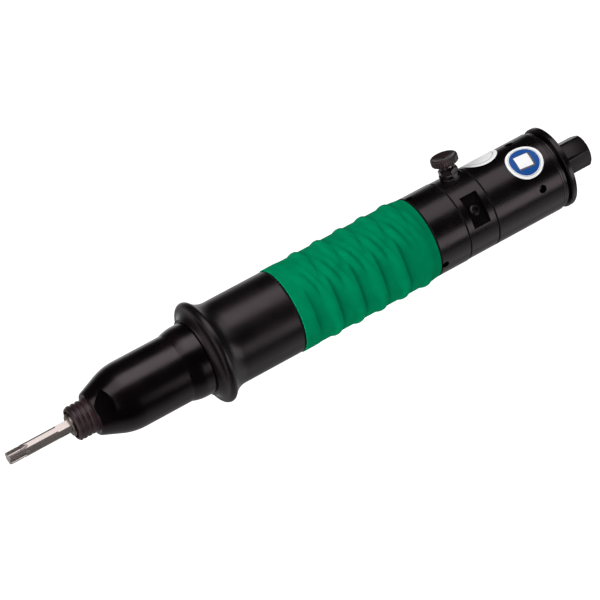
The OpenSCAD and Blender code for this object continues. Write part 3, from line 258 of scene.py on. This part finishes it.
# Dark lines on the casings as (x, half width) in mm: the grip's ends, where they are painted shade
# of the gap, the valve ring's two joints and two turned lines near the end of the rear casing
GRIP_FRONT_SHADE = [(GRIP_FRONT - 0.6, 0.9)]
CASING_LINES_AND_SHADE = [(GRIP_REAR + 0.4, 0.7), (VALVE_FRONT, 0.75), (VALVE_REAR, 0.65),
                (-26.4, 0.28), (-24.9, 0.28)]
SLOTS = {
    "black_casing": black_finish("casing_black", (0.0012, 0.0008, 0.0010), 0.25,
                                 rings=CASING_LINES_AND_SHADE),
    "phosphated_steel": black_finish("phosphated_steel", (0.0045, 0.0030, 0.0034), 0.32, warm=1.1,
                                     grain=0.010),
    "green_rubber": rubber_finish("green_rubber", (0.0001, 0.190, 0.080), 0.42, grain=0.02,
                                  spec=0.0, metal=0.04),
    "bright_steel": metal_finish("bright_steel", (0.72, 0.69, 0.67), 0.24, TURNED),
    "ground_steel": metal_finish("ground_steel", (0.52, 0.51, 0.50), 0.30, TURNED),
    "aluminium": metal_finish("aluminium", (0.76, 0.76, 0.77), 0.36, TURNED),
    "bronze": metal_finish("bronze", (0.62, 0.42, 0.20), 0.34, TURNED),
    "strainer_mesh": metal_finish("strainer_mesh", (0.66, 0.60, 0.46), 0.40, scale=2600,
                                  grain=0.02),
    "black_rubber": rubber_finish("black_rubber", (0.010, 0.010, 0.010), 0.55),
    "valve_plastic": rubber_finish("valve_plastic", (0.035, 0.035, 0.036), 0.40, grain=0.01),
    "vane_laminate": rubber_finish("vane_laminate", (0.22, 0.10, 0.045), 0.60, grain=0.02),
    "spring_steel": metal_finish("spring_steel", (0.36, 0.36, 0.38), 0.32, scale=1400),
}
# Nodes whose own finish differs from that of their slot
BY_NODE = {
    "nose_sleeve": black_finish("nose_black", (0.0010, 0.0006, 0.0008), 0.23, warm=1.1),
    # The clutch casing's ring at the grip's front is painted shade of the step under the grip's
    # edge.
    "clutch_casing": black_finish("clutch_black", (0.0013, 0.0009, 0.0011), 0.33, warm=1.1,
                                  rings=GRIP_FRONT_SHADE),
    "locating_screw": metal_finish("screw_steel", (0.13, 0.115, 0.115), 0.26, TURNED, grain=0.004),
    "reverse_spool": metal_finish("spool_steel", (0.16, 0.14, 0.135), 0.36, TURNED, grain=0.004),
    "bit": metal_finish("bit_steel", (0.415, 0.358, 0.340), 0.22, stretch=(0.1, 1, 1), scale=160,
                        grain=0.0, metal=0.82, spread=0.10),
    "bit_ring": metal_finish("ring_steel", (0.80, 0.76, 0.73), 0.24),
    "inlet_bushing": black_finish("inlet_black", (0.0030, 0.0020, 0.0024), 0.34, warm=1.1,
                                  grain=0.010, spec=0.34),
    "gland_nut": black_finish("nut_black", (0.0030, 0.0020, 0.0024), 0.24, warm=1.1),
    "spindle_bush": metal_finish("bush_bronze", (0.10, 0.065, 0.04), 0.42, TURNED),
    "spindle": metal_finish("spindle_steel", (0.30, 0.24, 0.22), 0.40, TURNED, grain=0.004),
}
THREAD_BLACK = black_finish("thread_black", (0.0125, 0.0080, 0.0088), 0.36, warm=1.2, grain=0.010)
KNOB_BLACK = black_finish("knob_black", (0.0120, 0.0085, 0.0090), 0.27, warm=1.15, grain=0.010)
WHITE_FILM = print_finish("white_film", (0.96, 0.96, 0.955))
GREY_FILM = print_finish("grey_film", (0.32, 0.32, 0.32))
PALE_FILM = print_finish("pale_film", (0.60, 0.60, 0.60))
EDGE_FILM = print_finish("edge_film", (0.120, 0.105, 0.085))
BLUE_FILM = print_finish("blue_film", (0.003, 0.070, 0.300))
slot_of = {p["node"]: p["material_slot"] for p in frame["record"]["subparts"]}


def paint(obj, material):
    """Gives every material slot of an object one material."""
    if not obj.data.materials:
        obj.data.materials.append(material)
    for i in range(len(obj.data.materials)):
        obj.data.materials[i] = material


for node_name, node_obj in NODES.items():
    paint(node_obj, BY_NODE.get(node_name, SLOTS[slot_of[node_name]]))


# Mesh helpers
def turn_point(x, radius, angle):
    """A point at an angle from the button about the tool's axis, in metres from mm."""
    a = math.radians(angle)
    return (x * MM, -radius * math.sin(a) * MM, radius * math.cos(a) * MM)


def make(name, points, faces, materials, owners=None, smooth=True, auto=None):
    """A mesh object from points in metres. Owners are the faces' places in the list of
    materials, and auto is the angle in degrees from which an edge stays sharp."""
    mesh = bpy.data.meshes.new(name)
    mesh.from_pydata([tuple(p) for p in points], [], faces)
    mesh.update()
    obj = bpy.data.objects.new(name, mesh)
    bpy.context.scene.collection.objects.link(obj)
    for material in materials:
        mesh.materials.append(material)
    bm = bmesh.new()
    bm.from_mesh(mesh)
    bmesh.ops.recalc_face_normals(bm, faces=bm.faces)
    bm.to_mesh(mesh)
    bm.free()
    if smooth:
        mesh.polygons.foreach_set("use_smooth", [True] * len(mesh.polygons))
        if auto is not None:
            mesh.set_sharp_from_angle(angle=math.radians(auto))
    if owners is not None:
        mesh.polygons.foreach_set("material_index", owners)
    return obj


def band_faces(a, b, count):
    """Faces between two rings of points that start at a and b."""
    ahead = [(i + 1) % count for i in range(count)]
    return [(a + i, a + n, b + n, b + i) for i, n in enumerate(ahead)]


def disc_faces(rings, count):
    """Faces of a disc: a fan about point 0, and rings of quads around it."""
    ahead = [(i + 1) % count for i in range(count)]
    faces = [(0, 1 + i, 1 + n) for i, n in enumerate(ahead)]
    for k in range(rings):
        a, b = 1 + k * count, 1 + (k + 1) * count
        faces += [(a + i, b + i, b + n, a + n) for i, n in enumerate(ahead)]
    return faces


def turned_rings(rings, count):
    """Points and faces of rings about the tool's axis. A ring is (x, radius), and the radius
    may be a function of the angle. The last ring is joined to the first."""
    points, faces = [], []
    for x, radius in rings:
        for i in range(count):
            angle = 360.0 * i / count
            points.append(turn_point(x, radius(angle) if callable(radius) else radius, angle))
    for k in range(len(rings)):
        faces += band_faces(k * count, (k + 1) % len(rings) * count, count)
    return points, faces


def thread_depth(x, angle, pitch, depth):
    """Depth below the crests of a right-hand thread at x and an angle."""
    flat, flank = 0.30, 0.55
    t = (x / pitch + angle / 360.0) % 1.0
    away = abs(t - 0.5) * 2
    return depth * smoothstep((1 - away - flat) / flank)


# Grip: its radii at the middle, the front, the tail and the bore, and the step at its ends, in mm
GRIP_R, GRIP_FRONT_R, GRIP_TAIL_R, GRIP_BORE_R = 22.15, 22.45, 21.6, 19.72
GRIP_EDGE = 0.2
# Distances from its front over which its radius passes from front to middle and from middle to tail
FRONT_PASSAGE, TAIL_PASSAGE = (6.8, 11.0), (74.5, 79.8)
# Place of the first rib, and pitch and number of the ribs in a row
CREST, PITCH, RIBS = -165.5, 13.2, 5
# A rib's lead before its edge, the length of its fall behind it and how hollow the fall is
RIB_LEAD, RIB_FALL, RIB_HOLLOW = 0.9, 3.0, 2.6
# Rows of crescent ribs at the top, at the bottom and in the middle of each side. Edge is the place
# of a rib's sharp edge and high its height, by the angle from the row's middle. Rise is the length
# of its slow rise: two angles, and the lengths up to the first and from the second
TOP_EDGE = [(0, 2.6), (42, 2.9), (72, 0.8), (90, 0.0)]
TOP_HIGH = [(0, 0.85), (22, 0.8), (42, 0.42), (66, 0.3), (82, 0.0)]
TOP_RISE = (20, 70, 3.2, 6.2)
LOW_EDGE = [(0, 3.3), (30, 4.7), (60, 3.8), (90, 3.75), (105, 3.9)]
LOW_HIGH = [(0, 0.85), (25, 0.8), (42, 0.95), (80, 1.0), (95, 0.5), (105, 0.0)]
LOW_RISE = (15, 65, 3.2, 7.0)
MID_EDGE = [(-24, -6.4), (-14, -6.0), (9, -3.7), (24, -2.6)]
MID_HIGH = [(-24, 0.0), (-12, 0.5), (4, 0.5), (24, 0.0)]
MID_SIDE, MID_RISE = 75, 4.5
# Shares of the height of an extra first rib and of the last rib in the bottom row, in that form
LOW_EXTRA, LOW_LAST = (25, 50, 0.0, 0.5), (12, 42, 1.0, 0.0)
# Fine creases between the rows: height by the angle from the top, pitch, slant in mm a degree
# about an angle, share of the pitch that rises and how hollow the fall is
FINE_HIGH = [(24, 0.0), (48, 0.15), (82, 0.17), (108, 0.0)]
FINE_PITCH, FINE_SLANT, FINE_SIDE, FINE_RISE, FINE_HOLLOW = 4.4, 0.085, 70, 0.72, 1.6
# Ends of the creases along the axis, and the length over which they fade there
FINE_START, FINE_END, FINE_FADE = CREST - 6, CREST + 4 * PITCH + 10, 5


def rib(t, rise):
    """A rib's height share at t mm behind its edge: slow rise, sharp edge, hollow fall."""
    if t < 0:
        return smoothstep((t + RIB_LEAD + rise) / rise)
    return max(0.0, 1 - t / RIB_FALL) ** RIB_HOLLOW


def rib_row(x, edge, high, rise, shares):
    """Height at x of a row of ribs. Shares gives each rib's share of the height by its number."""
    return max(high * share * rib(x - (CREST + k * PITCH + edge), rise)
               for k, share in shares.items())


def fine_crease(x, side):
    """Height of the fine slanting creases at x and at an angle from the top."""
    t = ((x - CREST - FINE_SLANT * (side - FINE_SIDE)) / FINE_PITCH) % 1.0
    fade = smoothstep((x - FINE_START) / FINE_FADE) * smoothstep((FINE_END - x) / FINE_FADE)
    if t < FINE_RISE:
        share = smoothstep(t / FINE_RISE)
    else:
        share = ((1 - t) / (1 - FINE_RISE)) ** FINE_HOLLOW
    return table_value(FINE_HIGH, side) * fade * share


def grip_rise(x, angle):
    """Height of the ribs at x and at an angle from the button."""
    phi = (angle + VIEW_TURN) % 360
    top = min(phi, 360 - phi)
    low = abs(phi - 180)
    middle = top - MID_SIDE
    whole = {k: 1.0 for k in range(RIBS)}
    part = {-1: eased(low, *LOW_EXTRA), **whole, RIBS - 1: eased(low, *LOW_LAST)}
    rows = [
        rib_row(x, table_value(TOP_EDGE, top), table_value(TOP_HIGH, top),
                eased(top, *TOP_RISE), whole),
        rib_row(x, table_value(LOW_EDGE, low), table_value(LOW_HIGH, low),
                eased(low, *LOW_RISE), part),
        rib_row(x, table_value(MID_EDGE, middle), table_value(MID_HIGH, middle), MID_RISE, whole),
    ]
    return max(rows) + fine_crease(x, top)


def grip_radius(x):
    """Radius of the grip between its ribs."""
    t = x - GRIP_FRONT
    return (eased(t, *FRONT_PASSAGE, GRIP_FRONT_R, GRIP_R)
            + eased(t, *TAIL_PASSAGE, 0.0, GRIP_TAIL_R - GRIP_R))


def make_grip():
    """The rubber sleeve with its wavy ribs."""
    count, steps = 240, 300
    rings = [(GRIP_FRONT, GRIP_BORE_R), (GRIP_FRONT, GRIP_FRONT_R - GRIP_EDGE)]
    start, end = GRIP_FRONT + GRIP_EDGE, GRIP_REAR - GRIP_EDGE
    for k in range(steps + 1):
        x = start + (end - start) * k / steps
        rings.append((x, lambda a, x=x: grip_radius(x) + grip_rise(x, a)))
    rings += [(GRIP_REAR, GRIP_TAIL_R - GRIP_EDGE), (GRIP_REAR, GRIP_BORE_R)]
    points, faces = turned_rings(rings, count)
    obj = make("grip_waves", points, faces, [SLOTS["green_rubber"]], auto=60)
    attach(obj, "root")
    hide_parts("grip_sleeve")


# Nose thread
def make_nose_thread():
    """The nose bushing with the turns of its thread, its neck, its flange and its seat."""
    crest, pitch, depth, chamfer = 8.9, 2.5, 0.42, 0.9
    front, rear, plain, run_out = -301.8, -291.5, 0.5, 1.2
    bore, neck_r, flange_r, seat_r = 7.2, 9.6, 12.0, 10.5
    flange_front, flange_rear, tail = -280.9, -276.9, -262.05
    steps, count = 110, 96
    rings = [(front, bore), (front, crest - chamfer)]
    for k in range(1, steps):
        x = front + (rear - front) * k / steps
        edge = crest - chamfer + (x - front)
        run = smoothstep((rear - x - plain) / run_out)
        rings.append((x, lambda a, x=x, edge=edge, run=run: min(
            edge, crest - thread_depth(x, a, pitch, depth) * run)))
    rings += [(rear, crest), (rear, neck_r), (flange_front, neck_r), (flange_front, flange_r),
              (flange_rear, flange_r), (flange_rear, seat_r), (tail, seat_r), (tail, bore)]
    points, faces = turned_rings(rings, count)
    obj = make("nose_thread", points, faces, [THREAD_BLACK], auto=50)
    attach(obj, "root")
    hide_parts("thread_bushing")


# Button
def make_knob():
    """The button's head: a fluted rim with round edges and a dished top with a centre mark."""
    radius, foot, top, edge, dish = 7.1, 28.5, 32.7, 1.0, 1.2
    stem_r, stem_len, fillet = 3.22, 2.0, 0.35
    mark_r, mark_depth, mark_floor_r = 0.75, 0.45, 0.02
    flutes, depth = 32, 0.28
    count, edge_steps, dish_steps = 256, 6, 12
    dish_r = radius - edge
    ball = (dish_r**2 + dish**2) / (2 * dish)
    # A ring is its height, its radius and its share of the flutes' depth
    rings = [(foot + stem_len, stem_r, 0.0), (foot, stem_r, 0.0), (foot, stem_r + fillet, 0.0)]
    for k in range(edge_steps + 1):
        a = math.radians(-90 + 90 * k / edge_steps)
        rings.append((foot + edge + edge * math.sin(a), dish_r + edge * math.cos(a),
                      k / edge_steps))
    rings.append(((foot + top) / 2, radius, 1.0))
    for k in range(edge_steps + 1):
        a = math.radians(90 * k / edge_steps)
        rings.append((top - edge + edge * math.sin(a), dish_r + edge * math.cos(a),
                      1 - k / edge_steps))
    for k in range(1, dish_steps):
        r = dish_r * (1 - k / dish_steps)
        z = top + ball - dish - math.sqrt(ball**2 - r**2)
        rings.append((z - mark_depth * smoothstep(1 - r / mark_r), r, 0.0))
    rings.append((top - dish - mark_depth, mark_floor_r, 0.0))
    points, faces = [], []
    for z, r, cut in rings:
        for i in range(count):
            a = 2 * math.pi * i / count
            groove = depth * cut * (0.5 - 0.5 * math.cos(flutes * a)) ** 2
            points.append(((BUTTON_X + (r - groove) * math.cos(a)) * MM,
                           (r - groove) * math.sin(a) * MM, z * MM))
    last = len(rings) - 1
    for k in range(last):
        faces += band_faces(k * count, (k + 1) * count, count)
    faces.append(tuple(last * count + i for i in range(count)))
    faces.append(tuple(range(count)))
    obj = make("knurled_button", points, faces, [KNOB_BLACK], auto=40)
    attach(obj, "button_body")
    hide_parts("reverse_knob")


# Inlet thread
def make_inlet():
    """The inlet bushing with its inner thread cut out of a copy of the solid."""
    crest, pitch, depth, run_out = 5.72, 1.337, 0.86, 1.0
    mouth, bottom, flare_at, flare_slope = 0.6, -13.2, -1.0, 0.8
    # How far the cutter's least radius lies outside the crests, and its turns' foot inside them
    clear, sunk = 0.02, 0.05
    steps, count = 120, 72
    source = NODES["inlet_bushing"]
    obj = bpy.data.objects.new("threaded_inlet", source.data.copy())
    bpy.context.scene.collection.objects.link(obj)
    bm = bmesh.new()
    bm.from_mesh(obj.data)
    bmesh.ops.remove_doubles(bm, verts=bm.verts, dist=1e-6)
    bm.to_mesh(obj.data)
    bm.free()

    def radius(x, angle):
        turns = (depth - thread_depth(x, angle, pitch, depth)) * smoothstep((x - bottom) / run_out)
        return max(crest + clear + max(0.0, x - flare_at) * flare_slope, crest - sunk + turns)

    points, faces = [], []
    for k in range(steps + 1):
        x = bottom + (mouth - bottom) * k / steps
        for i in range(count):
            angle = 360.0 * i / count
            points.append(turn_point(x, radius(x, angle), angle))
    for k in range(steps):
        faces += band_faces(k * count, (k + 1) * count, count)
    faces.append(tuple(range(count)))
    faces.append(tuple(steps * count + i for i in range(count)))
    cutter = make("inlet_cutter", points, faces, [SLOTS["phosphated_steel"]])
    cut = obj.modifiers.new("thread", "BOOLEAN")
    cut.operation, cut.solver, cut.object = "DIFFERENCE", "EXACT", cutter
    bpy.context.view_layer.update()
    depsgraph = bpy.context.evaluated_depsgraph_get()
    result = bpy.data.meshes.new_from_object(obj.evaluated_get(depsgraph))
    obj.modifiers.clear()
    obj.data = result
    bpy.data.objects.remove(cutter)
    result.polygons.foreach_set("use_smooth", [True] * len(result.polygons))
    result.set_sharp_from_angle(angle=math.radians(28))
    paint(obj, BY_NODE["inlet_bushing"])
    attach(obj, "root")
    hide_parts("inlet_bushing")


# Springs: each with its body, its joint, its direction, the place of its fixed end, its length and
# its travel in mm
SPRINGS = [
    ("clutch_spring", "carrier_2_body", "clutch_trip", (1, 0, 0), (-212.4, 0, 0), 12.84, 1.8),
    ("throttle_spring", "root", "push_start", (1, 0, 0), (-40.0, 0, 0), 12.92, 2.5),
    ("button_spring", "root", "reverse_button", (0, 0, 1), (BUTTON_X, 0, 4.0), 4.95, 2.0),
]


def make_springs():
    """The springs' coils: a copy of each spring's mesh, on the body that carries it."""
    for name, body, joint, axis, anchor, length, travel in SPRINGS:
        obj = bpy.data.objects.new(name + "_coils", NODES[name].data.copy())
        bpy.context.scene.collection.objects.link(obj)
        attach(obj, body)
        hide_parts(name)
        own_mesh(obj)


# Stickers: thickness of their film, and of the print of the square on the blue one, in mm
FILM, PRINT = 0.09, 0.03


def make_sticker(name, x, angle, bands):
    """A round film on the casing. Bands are (outer radius in mm, material)."""
    count, ring_width, skirt = 96, 0.9, 0.02
    radii, owners = [], []
    inner = 0.0
    for index, (outer, _) in enumerate(bands):
        parts = max(1, round((outer - inner) / ring_width))
        for k in range(parts):
            radii.append(inner + (outer - inner) * (k + 1) / parts)
            owners += [index] * count
        inner = outer
    owners += [len(bands) - 1] * count

    def spot(radius, turn, lift):
        b = 2 * math.pi * turn / count
        arc = math.degrees(radius * math.sin(b) / CASING_R)
        return turn_point(x + radius * math.cos(b), CASING_R + lift, angle + arc)

    points = [spot(0, 0, FILM)]
    for r in radii:
        points += [spot(r, i, FILM) for i in range(count)]
    points += [spot(radii[-1] + skirt, i, -skirt) for i in range(count)]
    faces = disc_faces(len(radii), count)
    obj = make(name, points, faces, [material for _, material in bands], owners, auto=45)
    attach(obj, "root")


def make_motif(x, angle, half, tall, turn, corner):
    """A plain white square with rounded corners on the blue sticker, on a dark square that shows
    more at its rear and lower edges. Half and tall are half its sides in mm, along the axis and
    around it, turn is in degrees, and corner is the corners' radius as a share of half."""
    carrier, offset = CASING_R + FILM, 0.28
    lean, level = math.sin(math.radians(turn)), math.cos(math.radians(turn))
    straight, bend = 12, 5
    outline = []
    for quarter in range(4):
        c, d = math.cos(math.pi / 2 * quarter), math.sin(math.pi / 2 * quarter)
        side = [(1.0, (2 * k / straight - 1) * (1 - corner)) for k in range(straight)]
        side += [(1 - corner + corner * math.cos(k * math.pi / (2 * bend)),
                  1 - corner + corner * math.sin(k * math.pi / (2 * bend))) for k in range(bend)]
        outline += [(p * c - q * d, p * d + q * c) for p, q in side]

    def spot(u, w, share, lift):
        shift = 0.0 if share == 1.0 else offset
        u, w = u * half * share - shift, w * tall * share - shift
        u, w = u * level - w * lean, u * lean + w * level
        return turn_point(x + u, carrier + lift, angle + math.degrees(w / carrier))

    points = [spot(0, 0, 0, PRINT)]
    shares = [0.2, 0.4, 0.6, 0.75, 0.88, 1.0]
    for share in shares:
        points += [spot(u, w, share, PRINT) for u, w in outline]
    points += [spot(u, w, 1.0, -PRINT) for u, w in outline]
    count = len(outline)
    faces = disc_faces(len(shares), count)
    # The rings outside the last share but one are the dark square
    white = (len(shares) - 1) * count
    owners = [0] * white + [1] * (len(faces) - white)
    obj = make("sticker_square", points, faces, [WHITE_FILM, EDGE_FILM], owners, auto=45)
    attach(obj, "root")


make_grip()
make_nose_thread()
make_knob()
make_inlet()
make_springs()
make_motif(-39.6, 43.0, half=4.5, tall=4.1, turn=5.5, corner=0.10)
make_sticker("white_sticker", -54.6, -10.0,
             [(7.5, WHITE_FILM), (7.9, GREY_FILM), (8.25, WHITE_FILM), (8.4, PALE_FILM),
              (10.0, WHITE_FILM)])
make_sticker("blue_sticker", -39.5, 43.3,
             [(7.8, BLUE_FILM), (8.1, WHITE_FILM), (8.35, GREY_FILM), (9.7, WHITE_FILM)])


# Studio: tilt of the tool's front end towards the camera and its lean in the picture, then its
# middle, the camera's distance from it and how far the camera is raised, in metres
TILT, LEAN = math.radians(18.5), math.radians(28.3)
MIDDLE, REACH, RAISE = Vector((-0.1712, 0, 0)), 1.470, 0.00073
ROLL = math.radians(VIEW_TURN)
# Directions square to the tool, towards the camera's side and above it, then those of the view
SIDE = Vector((0, -math.cos(ROLL), math.sin(ROLL)))
ABOVE = Vector((0, math.sin(ROLL), math.cos(ROLL)))
FRONT = Vector((-math.sin(TILT), -math.cos(TILT) * math.cos(ROLL), math.cos(TILT) * math.sin(ROLL)))
ALONG = (Vector((1, 0, 0)) + math.sin(TILT) * FRONT).normalized()
RIGHT = math.cos(LEAN) * ALONG - math.sin(LEAN) * ABOVE
UP = math.sin(LEAN) * ALONG + math.cos(LEAN) * ABOVE
# Rectangular soft lights: the angle from ABOVE towards the camera's side in degrees, the share
# along the tool, the distance, width and length in metres, the level, and whether gloss sees the
# light or matt colours do
LIGHTS = [
    ("gleam_top", 45, 0.20, 0.85, 0.62, 2.0, 1.45, True),
    ("gleam_nose", 38, 0.05, 0.84, 0.62, 0.45, 0.80, True),
    ("gleam_low", 133, 0.84, 0.85, 0.36, 0.82, 1.95, True),
    ("gleam_under", 185, 0.84, 0.78, 0.60, 0.82, 0.34, True),
    ("gleam_ahead", 80, -3.0, 0.95, 1.2, 1.2, 0.65, True),
    ("key_front", 55, -1.5, 0.90, 0.60, 0.6, 9.4, False),
    ("fill_low", 170, -1.2, 0.90, 0.70, 0.7, 3.7, False),
    ("fill_top", 16, 0.5, 0.95, 0.70, 1.2, 0.74, False),
]
# Level of the world for matt colours
ROOM_LEVEL = 0.42
# What gloss sees of the world: a sweep that grows pale away from the camera, and a backdrop behind
# the tool, which are white together. Each has a direction, the shares along it where it starts to
# rise and is at its level, and that level. Dim is the room in front
SWEEP_WAY, SWEEP_START, SWEEP_END = SIDE + 0.45 * ABOVE, -0.10, -0.70
SWEEP_DIM, SWEEP_LEVEL = 0.004, 0.30
BACKDROP_WAY, BACKDROP_START, BACKDROP_END = (0.21 * ABOVE - FRONT).normalized(), 0.83, 0.985
BACKDROP_LEVEL = 0.70


def look(obj, place, right, up, back):
    """Sets an object's place and axes."""
    matrix = Matrix((right, up, back)).transposed().to_4x4()
    matrix.translation = place
    obj.matrix_world = matrix


def make_camera():
    """The camera, at the photo's angle to the tool."""
    data = bpy.data.cameras.new("camera")
    data.lens, data.sensor_width = 180, 36
    data.clip_end = 50
    obj = bpy.data.objects.new("camera", data)
    bpy.context.scene.collection.objects.link(obj)
    look(obj, MIDDLE + RAISE * ABOVE + REACH * FRONT, RIGHT, UP, FRONT)
    bpy.context.scene.camera = obj


def soft_light(name, turn, along, distance, width, length, level, gloss):
    """A rectangular soft light that is aimed at the tool, as a row of LIGHTS says."""
    a = math.radians(turn)
    out = (math.cos(a) * ABOVE + math.sin(a) * SIDE + Vector((along, 0, 0))).normalized()
    data = bpy.data.lights.new(name, "AREA")
    data.shape = "RECTANGLE"
    data.size, data.size_y = length, width
    data.energy = level * math.pi * length * width
    obj = bpy.data.objects.new(name, data)
    bpy.context.scene.collection.objects.link(obj)
    right = (Vector((1, 0, 0)) - out.x * out).normalized()
    look(obj, MIDDLE + distance * out, right, out.cross(right), out)
    obj.visible_camera = False
    obj.visible_glossy, obj.visible_diffuse = gloss, not gloss


def make_world():
    """White to the camera and through glass. Gloss sees the same white behind the tool, which
    fades over a pale sweep to the dim room in front."""
    world = bpy.data.worlds.new("studio")
    bpy.context.scene.world = world
    world.use_nodes = True
    tree = world.node_tree
    back = tree.nodes["Background"]
    rays = tree.nodes.new("ShaderNodeLightPath").outputs
    place = tree.nodes.new("ShaderNodeTexCoord").outputs["Generated"]

    def ramp(way, start, end, low, high):
        """Low to high as the share of a ray's direction along a way goes from start to end."""
        dot = tree.nodes.new("ShaderNodeVectorMath")
        dot.operation = "DOT_PRODUCT"
        tree.links.new(place, dot.inputs[0])
        dot.inputs[1].default_value = way
        node = tree.nodes.new("ShaderNodeMapRange")
        node.interpolation_type = "SMOOTHSTEP"
        node.inputs["From Min"].default_value = start
        node.inputs["From Max"].default_value = end
        node.inputs["To Min"].default_value = low
        node.inputs["To Max"].default_value = high
        tree.links.new(dot.outputs["Value"], node.inputs["Value"])
        return node.outputs["Result"]

    sweep = ramp(SWEEP_WAY, SWEEP_START, SWEEP_END, SWEEP_DIM, SWEEP_LEVEL)
    backdrop = ramp(BACKDROP_WAY, BACKDROP_START, BACKDROP_END, 0.0, BACKDROP_LEVEL)
    behind = math_node(tree, "ADD", sweep, backdrop)
    gloss = math_node(tree, "MULTIPLY", rays["Is Glossy Ray"], behind)
    white = math_node(tree, "MAXIMUM", rays["Is Camera Ray"], rays["Is Transmission Ray"])
    other = math_node(tree, "MAXIMUM", white, rays["Is Glossy Ray"])
    matt = math_node(tree, "MULTIPLY", math_node(tree, "SUBTRACT", 1.0, other), ROOM_LEVEL)
    level = math_node(tree, "ADD", math_node(tree, "ADD", white, gloss), matt)
    tree.links.new(level, back.inputs["Strength"])
    back.inputs["Color"].default_value = (1, 1, 1, 1)


def floor_material():
    """Pale and matt, and lifted to white for the camera and through glass."""
    low, high, glow = 0.86, 0.90, 0.80
    material = bpy.data.materials.new("floor_pale")
    material.use_nodes = True
    tree = material.node_tree
    shader = tree.nodes["Principled BSDF"]
    shader.inputs["Roughness"].default_value = 0.9
    shader.inputs["Specular IOR Level"].default_value = 0.0
    shader.inputs["Emission Color"].default_value = (1, 1, 1, 1)
    noise = tree.nodes.new("ShaderNodeTexNoise")
    noise.inputs["Scale"].default_value = 40
    ramp = tree.nodes.new("ShaderNodeMapRange")
    ramp.inputs["To Min"].default_value = low
    ramp.inputs["To Max"].default_value = high
    tree.links.new(noise.outputs["Fac"], ramp.inputs["Value"])
    grey = tree.nodes.new("ShaderNodeCombineColor")
    for i in range(3):
        tree.links.new(ramp.outputs["Result"], grey.inputs[i])
    tree.links.new(grey.outputs["Color"], shader.inputs["Base Color"])
    rays = tree.nodes.new("ShaderNodeLightPath").outputs
    seen = math_node(tree, "MAXIMUM", rays["Is Camera Ray"], rays["Is Transmission Ray"])
    tree.links.new(math_node(tree, "MULTIPLY", seen, glow), shader.inputs["Emission Strength"])
    return material


def make_floor():
    """A plain floor well under the tool, which keeps the tool's shadow. Reflections look past it
    to the world's sweep and backdrop."""
    half, height, steps = 6.0, -0.85, 12
    row = steps + 1
    spots = [(i / steps * 2 - 1) * half for i in range(row)]
    points = [(x, y, height) for y in spots for x in spots]
    faces = [(j * row + i, j * row + i + 1, (j + 1) * row + i + 1, (j + 1) * row + i)
             for j in range(steps) for i in range(steps)]
    obj = make("floor", points, faces, [floor_material()], smooth=False)
    obj.visible_glossy = False


make_camera()
make_world()
make_floor()
for light in LIGHTS:
    soft_light(*light)
bpy.context.scene.view_settings.view_transform = "Standard"
